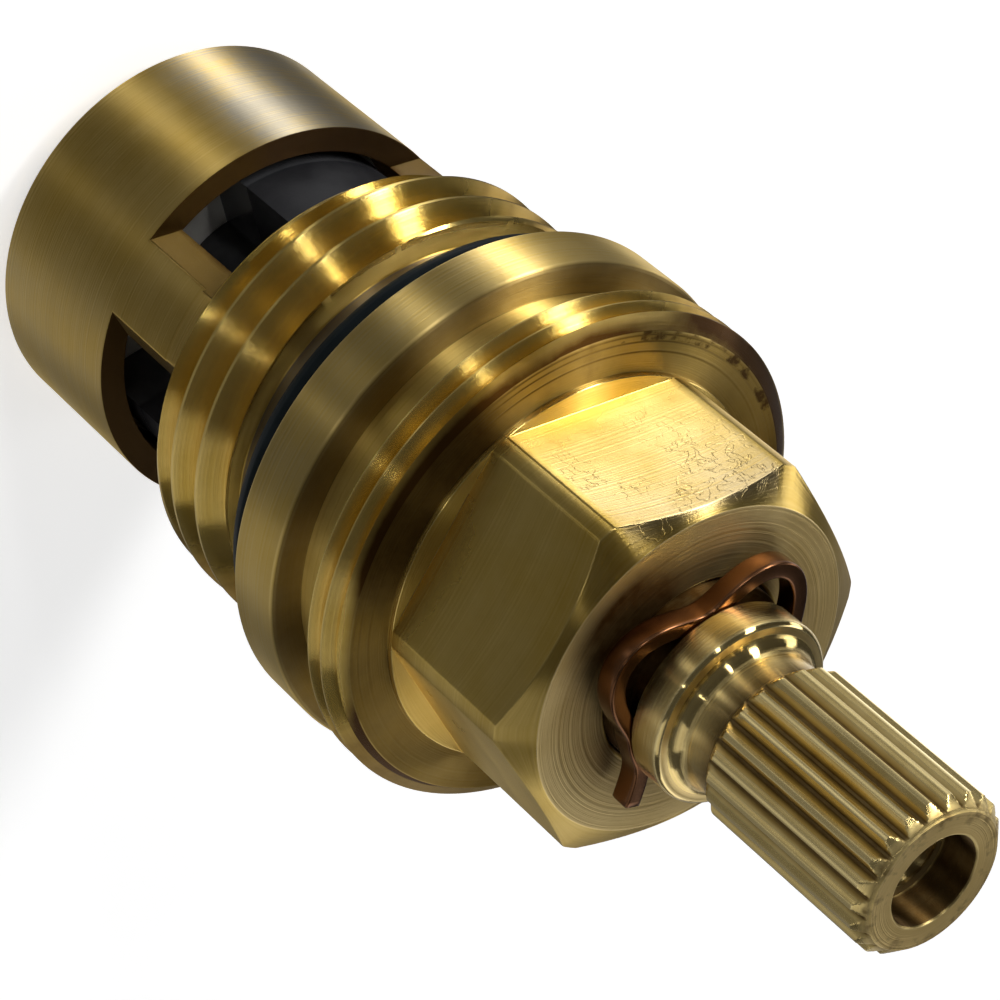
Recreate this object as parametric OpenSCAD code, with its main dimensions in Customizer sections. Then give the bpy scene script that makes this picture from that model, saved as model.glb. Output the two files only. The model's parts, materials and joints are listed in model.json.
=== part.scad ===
// Quarter-turn ceramic disc tap cartridge, standing on its inlet seal.
// +Z runs from the inlet to the handle end, and the origin is under the axis, on the seal's face.
// Threads are left as plain cylinders at their crest diameter.

/* [Inlet cage] */
// Outside diameter of the plain cage at the inlet end
cage_d = 18.6; // [18:0.1:19.4]
// Wall of the cage around the disc chamber
cage_wall = 1.2; // [0.9:0.05:1.4]
// Length of the plain cage, from the inlet rim to the run-in of the thread
cage_len = 12.8; // [12.4:0.1:14]
// Chamfer on the outside of the inlet rim
rim_chamfer = 0.3; // [0.1:0.05:0.5]
// Height of the water windows' sill above the inlet rim
window_sill = 8.4; // [7.6:0.1:9]
// Height of the water windows along the axis
window_h = 5.1; // [4.2:0.1:5.3]
// Distance of the windows' flat end walls from the axis
window_flat = 6.1; // [5.6:0.1:6.6]

/* [Body thread] */
// Crest diameter of the pipe thread that holds the cartridge in the tap
thread_d = 20.9; // [20.4:0.05:21.2]
// Length of the threaded stretch
thread_len = 5.4; // [4.6:0.1:7]
// Length of the lead chamfer at the start of the thread
thread_lead = 0.75; // [0.4:0.05:1]
// Diameter of the short run-in between cage and thread
neck_d = 18.9; // [18.7:0.05:19.6]
// Length of that run-in
neck_len = 0.9; // [0.6:0.1:1.5]
// Diameter of the relief between thread and collar, which carries the seal ring
relief_d = 18.4; // [17.8:0.1:18.8]
// Length of the relief
relief_len = 3.4; // [2.6:0.1:4]

/* [Collar and shroud thread] */
// Diameter of the collar that seats on the tap
collar_d = 23.4; // [22.8:0.1:25]
// Thickness of the collar
collar_h = 2.8; // [2:0.1:4]
// Diameter of the groove in front of the collar
groove_d = 20.6; // [19.6:0.1:21.2]
// Width of that groove
groove_w = 2.05; // [1.5:0.05:3]
// Crest diameter of the fine thread that takes the shroud
shroud_d = 23.2; // [22.6:0.1:24]
// Length of the fine thread
shroud_len = 2.2; // [1.8:0.1:4]
// Diameter of the flat front face of the fine thread's ring
shroud_face_d = 21.7; // [20.6:0.1:22.2]
// Depth of the chamfer from the fine thread to that face
shroud_chamfer = 0.3; // [0.2:0.05:0.6]
// Break on the other turned edges
edge_break = 0.15; // [0.05:0.05:0.3]

/* [Spanner hexagon] */
// Size across the flats
hex_af = 16; // [15.5:0.1:17]
// Diameter of the bar that the flats are milled on
hex_corner_d = 18.05; // [17.9:0.05:18.4]
// Height of the flats
hex_h = 7.65; // [6:0.1:10]
// Height of the round step under the flats
step_h = 0.26; // [0.15:0.01:0.6]
// Diameter of the turned end face
hex_face_d = 15.1; // [13.5:0.1:15.4]
// Slope of the end chamfer, in degrees from the end face
hex_chamfer_slope = 30; // [20:1:40]

/* [Spindle] */
// Diameter of the journal in the body
journal_d = 8.44; // [8:0.02:8.8]
// Radial running clearance between journal and body
journal_clear = 0.08; // [0.03:0.01:0.1]
// Height of the head in front of the clip
head_h = 1.6; // [1.2:0.1:3]
// Length of the neck between head and spline
spindle_neck_len = 1.7; // [1.2:0.1:3]
// Diameter over the spline's teeth
spline_d = 7.28; // [7:0.02:7.6]
// Depth of the spline's teeth
spline_depth = 0.44; // [0.3:0.02:0.55]
// Number of teeth
spline_teeth = 22; // [20:1:24]
// Width of a tooth's crest
spline_crest = 0.28; // [0.2:0.02:0.36]
// Width of the flat between two teeth
spline_gap = 0.14; // [0.08:0.02:0.2]
// Length of the spline
spline_len = 9.55; // [8:0.05:12]
// Chamfer on both ends of the teeth
spline_chamfer = 0.55; // [0.45:0.05:0.7]
// Core diameter of the handle screw's thread
screw_d = 3.3; // [2.8:0.1:3.4]
// Depth of the screw hole
screw_depth = 11; // [8:0.5:14]
// Diameter of the plain mouth of the screw hole
mouth_d = 4.08; // [3.9:0.02:4.4]
// Depth of that mouth
mouth_depth = 1.6; // [1:0.1:2.5]

/* [Spindle clip] */
// Radial width of the clip's wire
clip_w = 0.75; // [0.6:0.05:0.9]
// Height of the clip's wire along the axis
clip_h = 0.97; // [0.7:0.01:1.2]
// Height of the clip above the hexagon's end face
clip_lift = 0.54; // [0.3:0.02:0.8]
// Diameter of the groove that the clip grips
clip_groove_d = 7; // [6.6:0.1:7.4]
// Diameter over the clip's lobes, at the middle of the wire
clip_lobe_d = 11.2; // [10.4:0.1:12.4]
// Play between clip and groove
clip_play = 0.05; // [0.02:0.01:0.1]
// Direction of the clip's middle grip, in degrees from +X
clip_turn = 103; // [0:1:359]

/* [Quarter turn] */
// Travel of the spindle between its stops, in degrees
travel = 90; // [80:1:95]
// Free play at each stop, in degrees
stop_play = 1; // [0.5:0.5:2]
// Direction of the driver's solid wings at rest, in degrees from +X
wing_turn = 62; // [0:1:359]
// Width of one stop lug of the spindle, in degrees
lug_span = 38; // [30:1:45]
// Thickness of the spindle's flange
flange_t = 1.8; // [1.2:0.1:2.4]
// Height of the stop lugs above the flange
lug_h = 2.4; // [2:0.1:3]
// Diameter of the hub inside the lugs
hub_d = 11; // [10.6:0.1:11.6]
// Gap around the flange and its lugs
flange_gap = 0.4; // [0.3:0.05:0.6]

/* [Discs and driver] */
// Thickness of the fixed disc
fixed_t = 3.2; // [2.8:0.1:3.6]
// Thickness of the moving disc
moving_t = 3; // [2.6:0.1:3.4]
// Height of the driver on the moving disc
driver_h = 4.95; // [4.4:0.05:5.4]
// Radial gap between the turning pieces and the cage
wing_gap = 0.4; // [0.3:0.05:0.6]
// Radial gap between the fixed disc and the cage
fixed_gap = 0.1; // [0.05:0.01:0.2]
// Gap between the two lapped disc faces
lap_gap = 0.05; // [0.02:0.01:0.1]
// Width of each solid wing of driver and moving disc, in degrees
wing_span = 90; // [84:1:96]
// Diameter of the hub between the wings
wing_hub_d = 7.6; // [7:0.1:8.4]
// Diameter of the driver's upper deck
deck_d = 12.2; // [11.4:0.1:13]
// Height of the driver's upper deck
deck_h = 2.9; // [2.2:0.1:3.4]
// Width of each port in the fixed disc, in degrees
port_span = 74; // [64:1:80]
// Diameter inside the ports
port_in_d = 5; // [4.4:0.1:6]
// Width of the lugs that keep the fixed disc from turning
key_w = 3; // [2.4:0.1:4]
// Reach of those lugs into the cage wall
key_reach = 0.5; // [0.3:0.05:0.6]
// Width of the spindle's driving tongue
tongue_w = 4; // [3.4:0.1:4.6]
// Length of the tongue across the axis
tongue_l = 11; // [9:0.1:12]
// Height of the tongue
tongue_h = 2.6; // [1.8:0.1:3]
// Width of the driver's rib in the moving disc
rib_w = 3; // [2.4:0.1:3.6]
// Length of that rib
rib_l = 9; // [8:0.1:11]
// Height of that rib
rib_h = 1.2; // [0.8:0.1:1.6]
// Play of tongue, rib and key lugs in their slots
slot_play = 0.1; // [0.05:0.01:0.15]

/* [Seals] */
// Height of the rubber seat seal
seal_h = 3; // [2.6:0.1:3.6]
// Height by which the seal stands out of the inlet rim
seal_proud = 0.8; // [0.4:0.1:1.2]
// Radial width of the seal
seal_w = 1.6; // [1.3:0.1:2]
// Radial gap between seal and cage
seal_gap = 0.05; // [0.02:0.01:0.1]
// Depth of the groove between the seal's two lips
seal_lip = 0.35; // [0.2:0.05:0.6]
// Wall of the ring that supports the seal from inside
support_wall = 0.5; // [0.4:0.05:0.8]
// Section of the seal ring under the collar
body_ring_s = 1.9; // [1.6:0.1:2.2]
// Section of the seal rings on the journal
journal_ring_s = 1.4; // [1:0.1:1.6]
// Gap between the journal's seal rings and the body
journal_ring_gap = 0.02; // [0.01:0.01:0.04]
// Width of the journal's ring grooves
ring_groove_w = 1.9; // [1.7:0.1:2.4]
// Height of the lower ring groove above the slip washer
ring_first = 4; // [2:0.5:5]
// Distance between the two ring grooves
ring_pitch = 4.5; // [3.5:0.5:6]
// Thickness of the slip washer
washer_t = 0.8; // [0.5:0.1:1.2]
// Gap between slip washer and spindle
thrust_gap = 0.05; // [0.02:0.01:0.1]
// Radial play of the slip washer round the journal
washer_play = 0.15; // [0.1:0.05:0.3]

/* [Hidden] */
$fn = 96;

// Overlap of joined volumes, and of cuts past a face
lap = 0.2;
// Half a turn in degrees, after which stops, wings, ports and keys repeat
half_turn = 180;
// Directions of the three water windows, which face three of the hexagon's flats
window_turns = [90, 210, 330];

// Radii
cage_r = cage_d / 2;
chamber_r = cage_r - cage_wall;
thread_r = thread_d / 2;
relief_r = relief_d / 2;
collar_r = collar_d / 2;
shroud_r = shroud_d / 2;
corner_r = hex_corner_d / 2;
hex_face_r = hex_face_d / 2;
journal_r = journal_d / 2;
bore_r = journal_r + journal_clear;
spline_r = spline_d / 2;
spline_root_r = spline_r - spline_depth;
flange_r = chamber_r - flange_gap;
hub_r = hub_d / 2;
hub_room_r = hub_r + flange_gap;
wing_r = chamber_r - wing_gap;
fixed_r = chamber_r - fixed_gap;
key_r = fixed_r + key_reach;
seal_r = chamber_r - seal_gap;
support_r = seal_r - seal_w;
inlet_r = support_r - support_wall;
ring_seat_r = bore_r - journal_ring_gap - journal_ring_s;
washer_r = hub_r - flange_gap;
clip_grip_r = clip_groove_d / 2 + clip_play + clip_w / 2;
clip_lobe_r = clip_lobe_d / 2;

// Heights of the body's steps
rim_z = seal_proud;
sill_z = rim_z + window_sill;
cage_top = rim_z + cage_len;
thread_z = cage_top + neck_len;
thread_top = thread_z + thread_len;
collar_z = thread_top + relief_len;
collar_top = collar_z + collar_h;
shroud_z = collar_top + groove_w;
shroud_top = shroud_z + shroud_len;
hex_z = shroud_top + step_h;
hex_top = hex_z + hex_h;

// Heights of the stack inside
fixed_top = seal_h + fixed_t;
moving_z = fixed_top + lap_gap;
driver_z = moving_z + moving_t;
flange_z = driver_z + driver_h;
flange_top = flange_z + flange_t;
stop_z = flange_top + flange_gap;
ceiling_z = flange_top + lug_h + flange_gap;
hub_top = ceiling_z - washer_t - thrust_gap;
ring_groove_z = [ceiling_z + ring_first, ceiling_z + ring_first + ring_pitch];

// Heights of the spindle's outer end
clip_z = hex_top + clip_lift;
clip_top = clip_z + clip_h;
head_z = clip_top + clip_play;
head_top = head_z + head_h;
spline_z = head_top + spindle_neck_len;
spline_top = spline_z + spline_len;

// Angle in degrees from the clip's middle grip to the start of a leg
clip_leg_start = 90;
// Angle in degrees from the clip's middle grip to the tip of a leg
clip_leg_end = 128;
// Power by which a leg bends outwards
clip_leg_power = 5;
// Step in degrees between two points of the clip's outline
clip_step = 2;

// Stops: what the travel, the play and the spindle's lugs leave of half a turn
body_stop_span = half_turn - travel - lug_span - 2 * stop_play;
body_stop_start = wing_turn - lug_span / 2 - stop_play - body_stop_span;

brass = [0.79, 0.66, 0.38];
bronze = [0.55, 0.33, 0.22];
dark_ceramic = [0.24, 0.24, 0.25];
pale_ceramic = [0.86, 0.85, 0.82];
rubber = [0.08, 0.08, 0.1];
acetal = [0.9, 0.9, 0.87];

// A solid of revolution from [radius, height] points.
module turned(points) {
    rotate_extrude()
        polygon(points);
}

// Part of a ring between two radii, from one direction round to another.
module ring_sector(r_in, r_out, start, span, z, h) {
    rotate([0, 0, start])
        translate([0, 0, z])
            rotate_extrude(angle = span)
                translate([r_in, 0])
                    square([r_out - r_in, h]);
}

// A tube, used for washers and for turned grooves.
module tube(r_in, r_out, z, h) {
    turned([[r_in, z], [r_out, z], [r_out, z + h], [r_in, z + h]]);
}

// A seal ring of round section that stands on the radius r_in.
module seal_ring(r_in, section, z_mid) {
    translate([0, 0, z_mid])
        rotate_extrude()
            translate([r_in + section / 2, 0])
                circle(d = section, $fn = 48);
}

// A bar across the axis, for the tongue, the rib and their slots.
module cross_bar(l, w, z, h) {
    rotate([0, 0, wing_turn])
        translate([-l / 2, -w / 2, z])
            cube([l, w, h]);
}

// The two water gaps between the wings, outside a hub of the given diameter.
module wing_gaps(hub_dia, z, h) {
    for (side = [0, half_turn])
        ring_sector(hub_dia / 2, wing_r + lap, wing_turn + side + wing_span / 2,
                    half_turn - wing_span, z, h);
}

// Outline of the turned body, from the inlet rim to the step under the hexagon.
module body_turning() {
    turned([
        [0, rim_z],
        [cage_r - rim_chamfer, rim_z],
        [cage_r, rim_z + rim_chamfer],
        [cage_r, cage_top],
        [neck_d / 2, cage_top],
        [neck_d / 2, thread_z],
        [thread_r, thread_z + thread_lead],
        [thread_r, thread_top - edge_break],
        [thread_r - edge_break, thread_top],
        [relief_r, thread_top],
        [relief_r, collar_z],
        [collar_r - edge_break, collar_z],
        [collar_r, collar_z + edge_break],
        [collar_r, collar_top - edge_break],
        [collar_r - edge_break, collar_top],
        [groove_d / 2, collar_top],
        [groove_d / 2, shroud_z],
        [shroud_r - edge_break, shroud_z],
        [shroud_r, shroud_z + edge_break],
        [shroud_r, shroud_top - shroud_chamfer],
        [shroud_face_d / 2, shroud_top],
        [corner_r, shroud_top],
        [corner_r, hex_z],
        [0, hex_z]
    ]);
}

// Six flats milled on the round bar, with the turned chamfer of the end face.
module hexagon() {
    chamfer_z = hex_top - (corner_r - hex_face_r) * tan(hex_chamfer_slope);
    intersection() {
        translate([0, 0, shroud_top])
            cylinder(d = hex_af / cos(30), h = hex_top - shroud_top, $fn = 6);
        turned([[0, shroud_top], [corner_r, shroud_top], [corner_r, chamfer_z],
                [hex_face_r, hex_top], [0, hex_top]]);
    }
}

// The disc chamber, the room for the hub and the two quarter-turn tracks of the stop lugs.
module chamber() {
    translate([0, 0, rim_z - lap])
        cylinder(r = chamber_r, h = stop_z - rim_z + lap);
    translate([0, 0, stop_z - lap])
        cylinder(r = hub_room_r, h = ceiling_z - stop_z + lap);
    for (side = [0, half_turn])
        ring_sector(hub_room_r - lap, chamber_r, body_stop_start + body_stop_span + side,
                    half_turn - body_stop_span, stop_z - lap, ceiling_z - stop_z + lap);
}

// Two key lugs, or the slots in the cage that hold them.
module keys(reach_r, w, z, h) {
    intersection() {
        rotate([0, 0, wing_turn + 90])
            translate([-reach_r - lap, -w / 2, z])
                cube([2 * (reach_r + lap), w, h]);
        translate([0, 0, z])
            cylinder(r = reach_r, h = h);
    }
}

// Brass body: inlet cage with three milled windows, thread, collar, shroud thread and hexagon.
module headwork_body() {
    color(brass)
        difference() {
            union() {
                body_turning();
                hexagon();
            }
            chamber();
            translate([0, 0, ceiling_z - lap])
                cylinder(r = bore_r, h = hex_top - ceiling_z + 2 * lap);
            for (turn = window_turns)
                rotate([0, 0, turn])
                    translate([window_flat, -cage_d, sill_z])
                        cube([cage_d, 2 * cage_d, window_h]);
            keys(key_r + slot_play, key_w + 2 * slot_play, rim_z - lap,
                 fixed_top + slot_play - rim_z + lap);
        }
}

// One turn of teeth: crest, flank, gap and flank of each tooth in turn.
module spline_plan() {
    crest_half = asin(spline_crest / 2 / spline_r);
    gap_half = asin(spline_gap / 2 / spline_root_r);
    pitch = 360 / spline_teeth;
    polygon([for (i = [0 : spline_teeth - 1])
        for (corner = [[spline_r, -crest_half], [spline_r, crest_half],
                       [spline_root_r, pitch / 2 - gap_half], [spline_root_r, pitch / 2 + gap_half]])
            corner[0] * [cos(i * pitch + corner[1]), sin(i * pitch + corner[1])]]);
}

// The toothed end, with its teeth chamfered at both ends.
module spline() {
    intersection() {
        translate([0, 0, spline_z - lap])
            linear_extrude(height = spline_len + lap)
                spline_plan();
        turned([[0, spline_z - lap], [spline_root_r - lap, spline_z - lap], [spline_root_r - lap, spline_z],
                [spline_r - spline_chamfer, spline_z], [spline_r, spline_z + spline_chamfer],
                [spline_r, spline_top - spline_chamfer], [spline_r - spline_chamfer, spline_top],
                [0, spline_top]]);
    }
}

// Brass spindle: tongue, flange with stop lugs, journal, head, neck and spline.
module spindle() {
    color(brass)
        difference() {
            union() {
                cross_bar(tongue_l, tongue_w, flange_z - tongue_h, tongue_h + lap);
                turned([
                    [0, flange_z],
                    [flange_r, flange_z],
                    [flange_r, flange_top],
                    [hub_r, flange_top],
                    [hub_r, hub_top],
                    [journal_r, hub_top],
                    [journal_r, head_top - edge_break],
                    [journal_r - edge_break, head_top],
                    [spline_root_r, head_top],
                    [spline_root_r, spline_z + lap],
                    [0, spline_z + lap]
                ]);
                for (side = [0, half_turn])
                    ring_sector(hub_r - lap, flange_r, wing_turn + side - lug_span / 2, lug_span,
                                flange_top - lap, lug_h + lap);
                spline();
            }
            for (z = ring_groove_z)
                tube(ring_seat_r, journal_r + lap, z, ring_groove_w);
            tube(clip_groove_d / 2, journal_r + lap, clip_z - clip_play, clip_h + 2 * clip_play);
            translate([0, 0, spline_top - screw_depth])
                cylinder(d = screw_d, h = screw_depth + lap);
            translate([0, 0, spline_top - mouth_depth])
                cylinder(d = mouth_d, h = mouth_depth + lap);
        }
}

// Middle line of the clip, by the angle from its middle grip: three grips on the groove with
// a lobe between each two, and at each end a leg that turns outwards.
function clip_r(a) =
    abs(a) <= clip_leg_start
        ? (clip_grip_r + clip_lobe_r) / 2 - (clip_lobe_r - clip_grip_r) / 2 * cos(4 * a)
        : clip_grip_r + (clip_lobe_r - clip_grip_r)
            * pow((abs(a) - clip_leg_start) / (clip_leg_end - clip_leg_start), clip_leg_power);
function clip_point(a) = clip_r(a) * [cos(a + clip_turn), sin(a + clip_turn)];
function clip_side(a, offset) =
    let (along = clip_point(a + clip_step / 4) - clip_point(a - clip_step / 4))
    clip_point(a) + offset * [along[1], -along[0]] / norm(along);

// Bronze wire clip that holds the spindle in the body.
module spindle_clip() {
    angles = [for (a = [-clip_leg_end : clip_step : clip_leg_end]) a];
    count = len(angles);
    color(bronze)
        translate([0, 0, clip_z])
            linear_extrude(height = clip_h)
                polygon([
                    for (a = angles)
                        clip_side(a, clip_w / 2),
                    for (i = [count - 1 : -1 : 0])
                        clip_side(angles[i], -clip_w / 2)
                ]);
}

// Washer between the spindle's hub and the ceiling of the chamber.
module slip_washer() {
    color(acetal)
        tube(journal_r + washer_play, washer_r, ceiling_z - washer_t, washer_t);
}

// Seal ring in one of the journal's two grooves.
module journal_ring(groove) {
    color(rubber)
        seal_ring(ring_seat_r, journal_ring_s, ring_groove_z[groove] + ring_groove_w / 2);
}

module lower_spindle_ring() {
    journal_ring(0);
}

module upper_spindle_ring() {
    journal_ring(1);
}

// Dark carrier that takes the tongue and turns the moving disc by a rib underneath.
module disc_driver() {
    deck_z = flange_z - deck_h;
    color(dark_ceramic)
        difference() {
            union() {
                translate([0, 0, driver_z])
                    cylinder(r = wing_r, h = driver_h);
                cross_bar(rib_l, rib_w, driver_z - rib_h, rib_h + lap);
            }
            wing_gaps(wing_hub_d, driver_z - lap, deck_z - driver_z + lap);
            wing_gaps(deck_d, deck_z - lap, deck_h + 2 * lap);
            cross_bar(tongue_l + 2 * slot_play, tongue_w + 2 * slot_play,
                      flange_z - tongue_h - slot_play, tongue_h + slot_play + lap);
        }
}

// Turning ceramic disc: two wings that cover the ports or leave them open.
module moving_disc() {
    color(dark_ceramic)
        difference() {
            translate([0, 0, moving_z])
                cylinder(r = wing_r, h = moving_t);
            wing_gaps(wing_hub_d, moving_z - lap, moving_t + 2 * lap);
            cross_bar(rib_l + 2 * slot_play, rib_w + 2 * slot_play,
                      driver_z - rib_h - slot_play, rib_h + slot_play + lap);
        }
}

// Fixed ceramic disc with two ports, keyed into the cage.
module fixed_disc() {
    color(pale_ceramic)
        difference() {
            union() {
                translate([0, 0, seal_h])
                    cylinder(r = fixed_r, h = fixed_t);
                keys(key_r, key_w, seal_h, fixed_t);
            }
            for (side = [0, half_turn])
                ring_sector(port_in_d / 2, inlet_r, wing_turn + side - port_span / 2, port_span,
                            seal_h - lap, fixed_t + 2 * lap);
        }
}

// Rubber ring that seals on the tap's seat, with a groove between its two lips.
module seat_seal() {
    lip_w = seal_w / 4;
    color(rubber)
        turned([
            [support_r, seal_lip / 2],
            [support_r + seal_lip / 2, 0],
            [support_r + lip_w, 0],
            [support_r + seal_w / 2, seal_lip],
            [seal_r - lip_w, 0],
            [seal_r - seal_lip / 2, 0],
            [seal_r, seal_lip / 2],
            [seal_r, seal_h],
            [support_r, seal_h]
        ]);
}

// Brass ring that keeps the seal from closing in on the inlet.
module seal_support_ring() {
    color(brass)
        tube(inlet_r, support_r, rim_z, seal_h - rim_z);
}

// Seal ring in the relief, against the underside of the collar.
module body_seal_ring() {
    color(rubber)
        seal_ring(relief_r, body_ring_s, collar_z - body_ring_s / 2);
}

headwork_body();
spindle();
spindle_clip();
slip_washer();
lower_spindle_ring();
upper_spindle_ring();
disc_driver();
moving_disc();
fixed_disc();
seat_seal();
seal_support_ring();
body_seal_ring();
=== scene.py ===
# %% [markdown]
# This lesson dresses a quarter-turn tap cartridge: a brass body with an inlet cage, a pipe thread,
# a collar and a spanner hexagon, and a splined brass spindle that turns a pair of ceramic discs.
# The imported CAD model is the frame. Everything here is laid over it at the same place and size.

# %% Load the frame and keep its box
import json
import math

import bmesh
import bpy
import numpy as np
from mathutils import Matrix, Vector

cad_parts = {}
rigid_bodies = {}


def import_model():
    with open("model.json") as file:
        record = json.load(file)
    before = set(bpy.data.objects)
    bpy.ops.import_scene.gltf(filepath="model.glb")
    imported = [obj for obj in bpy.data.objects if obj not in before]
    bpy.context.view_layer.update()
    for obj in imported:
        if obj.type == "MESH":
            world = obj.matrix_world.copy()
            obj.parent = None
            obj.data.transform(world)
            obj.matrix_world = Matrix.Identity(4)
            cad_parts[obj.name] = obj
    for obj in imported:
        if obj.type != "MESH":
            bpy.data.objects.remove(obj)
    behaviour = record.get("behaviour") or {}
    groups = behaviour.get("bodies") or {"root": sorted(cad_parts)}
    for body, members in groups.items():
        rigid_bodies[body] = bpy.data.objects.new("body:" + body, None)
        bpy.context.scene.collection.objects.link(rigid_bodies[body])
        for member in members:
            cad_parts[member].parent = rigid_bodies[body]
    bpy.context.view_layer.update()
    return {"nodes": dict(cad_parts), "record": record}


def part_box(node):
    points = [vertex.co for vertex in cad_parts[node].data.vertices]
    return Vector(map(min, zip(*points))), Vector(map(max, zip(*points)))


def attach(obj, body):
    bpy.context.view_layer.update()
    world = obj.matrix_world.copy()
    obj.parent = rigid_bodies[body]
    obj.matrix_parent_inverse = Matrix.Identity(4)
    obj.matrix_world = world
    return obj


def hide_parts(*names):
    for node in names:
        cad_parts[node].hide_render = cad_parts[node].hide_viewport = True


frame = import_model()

MM = 0.001

# %% [markdown]
# The camera, every piece, the floor and the lamps are objects that have to be linked into the
# scene, and the camera and the lamps are aimed by their axes. Two helpers do that.

# %% Helpers for objects
def put(name, data):
    """A new object with this data, linked into the scene at the origin."""
    thing = bpy.data.objects.new(name, data)
    bpy.context.scene.collection.objects.link(thing)
    return thing


def set_axes(thing, right, up, back, place):
    """Write an object's three axes and its place into the columns of its matrix."""
    matrix = np.eye(4)
    matrix[:3] = np.column_stack([right, up, back, place])
    thing.matrix_world = Matrix(matrix.tolist())


# %% [markdown]
# The photograph looks down on the upright cartridge from one side, and it is rolled, so that the
# spindle points to the lower right. A camera could be aimed with a constraint, but that keeps
# the picture level. So its three axes are worked out from its gaze and its roll.

# %% Camera at the photograph's angle
camera_place = np.array([-79.66, 89.97, 121.68]) * MM
gaze = np.array([0.5181, -0.5835, -0.6256])
roll = math.radians(40.83)
level_right = np.cross(gaze, [0, 0, 1])
level_right /= np.linalg.norm(level_right)
level_up = np.cross(level_right, gaze)
picture_right = math.cos(roll) * level_up - math.sin(roll) * level_right
picture_up = -math.sin(roll) * level_up - math.cos(roll) * level_right

camera_data = bpy.data.cameras.new("photo_camera")
camera_data.sensor_width = 36
camera_data.lens = 133.79
camera_data.clip_start = 5 * MM
camera = put("photo_camera", camera_data)
set_axes(camera, picture_right, picture_up, -gaze, camera_place)
bpy.context.scene.camera = camera
bpy.context.scene.view_settings.view_transform = "Standard"
print("camera height above the floor in mm:", round(camera_place[2] / MM, 1))

# %% [markdown]
# Every new piece here is a grid of points: rows follow a profile, columns go round the axis or
# round a section. Machined edges are never quite sharp, so the profiles get rounded corners. These
# helpers work on whole arrays.

# %% Helpers for grids
corner_steps = 3
corner_rows = corner_steps + 1


def grid_quads(rows, columns, closed_rows=False):
    """Four-cornered faces of a grid whose columns close round: two neighbours in two rows each."""
    index = np.arange(rows * columns).reshape(rows, columns)
    index = np.concatenate([index, index[:, :1]], axis=1)
    if closed_rows:
        index = np.concatenate([index, index[:1]], axis=0)
    corners = [index[:-1, :-1], index[:-1, 1:], index[1:, 1:], index[1:, :-1]]
    return np.stack(corners, axis=-1).reshape(-1, 4)


def round_corners(profile, radius):
    """Each inner corner of a profile becomes a short parabola between points a radius away from it.

    The profile has shape (points, columns, 2) with radius and height in the last place. The second
    result is 1 in the middle of an outer edge and 0 elsewhere, so that a finish can find the edges.
    """
    profile = np.asarray(profile, float)
    if profile.ndim == 2:
        profile = profile[:, None, :]
    corner = profile[1:-1]
    before = corner - profile[:-2]
    after = profile[2:] - corner
    len_before = np.linalg.norm(before, axis=-1, keepdims=True) + 1e-9
    len_after = np.linalg.norm(after, axis=-1, keepdims=True) + 1e-9
    reach = np.minimum(radius, 0.45 * np.minimum(len_before, len_after))
    start = (corner - reach * before / len_before)[:, None]
    end = (corner + reach * after / len_after)[:, None]
    t = np.linspace(0, 1, corner_rows)[None, :, None, None]
    bend = (1 - t) ** 2 * start + 2 * t * (1 - t) * corner[:, None] + t ** 2 * end
    cross = before[..., 0] * after[..., 1] - before[..., 1] * after[..., 0]
    outer = cross / (len_before * len_after)[..., 0] > 0.3
    edge = 4 * (t * (1 - t))[..., 0] * outer[:, None]
    columns = profile.shape[1]
    flat_end = np.zeros((1, columns))
    rows = np.concatenate([profile[:1], bend.reshape(-1, columns, 2), profile[-1:]])
    return rows, np.concatenate([flat_end, edge.reshape(-1, columns), flat_end])


def on_axis(profile, angles):
    """Points of a turned surface: radius times cosine and sine of the angle, and height as it is."""
    radius = np.broadcast_to(profile[..., 0], angles.shape)
    height = np.broadcast_to(profile[..., 1], angles.shape)
    return np.stack([radius * np.cos(angles), radius * np.sin(angles), height], axis=-1)


print("rows per rounded corner:", corner_rows)

# %% [markdown]
# A grid becomes a piece in one way for all. Points that fall together, as at a pole, are welded, so
# that the mesh is closed. The marks are values for each point that the finishes read later.

# %% Helper for pieces
def make_piece(name, points, quads, body, stands_for, marks=None, sharp=50):
    """Put points in mm and faces into a mesh at the origin, weld its poles, and seat it on its body."""
    mesh = bpy.data.meshes.new(name)
    mesh.vertices.add(len(points))
    mesh.vertices.foreach_set("co", (points * MM).ravel())
    mesh.loops.add(quads.size)
    mesh.loops.foreach_set("vertex_index", quads.ravel().astype(np.int32))
    mesh.polygons.add(len(quads))
    mesh.polygons.foreach_set("loop_start", np.arange(0, quads.size, 4, dtype=np.int32))
    mesh.update(calc_edges=True)
    for mark, values in (marks or {}).items():
        data = mesh.attributes.new(mark, "FLOAT", "POINT").data
        data.foreach_set("value", values.ravel().astype(np.float32))
    welded = bmesh.new()
    welded.from_mesh(mesh)
    bmesh.ops.remove_doubles(welded, verts=welded.verts, dist=2e-7)
    bmesh.ops.dissolve_degenerate(welded, dist=1e-8, edges=welded.edges)
    welded.to_mesh(mesh)
    welded.free()
    mesh.polygons.foreach_set("use_smooth", np.ones(len(mesh.polygons), bool))
    mesh.set_sharp_from_angle(angle=math.radians(sharp))
    piece = put(name, mesh)
    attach(piece, body)
    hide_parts(stands_for)
    print(f"{name}: {len(mesh.vertices)} points, {len(mesh.polygons)} faces")
    return piece


# %% [markdown]
# Sizes are in mm. Heights run up from the face of the inlet seal, and radii run out from the axis.
# The outermost sizes come from the frame: the boxes of its nodes, and the mounts in its record. A
# box says nothing about the steps inside it, so the others are written here as the CAD model has them.

# %% Sizes of the body
def span(node):
    """Reach of a CAD node along X, then its lowest and its highest point, in mm to three decimals."""
    low, high = np.round(np.array(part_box(node)) / MM, 3)
    return high[0], low[2], high[2]


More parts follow.
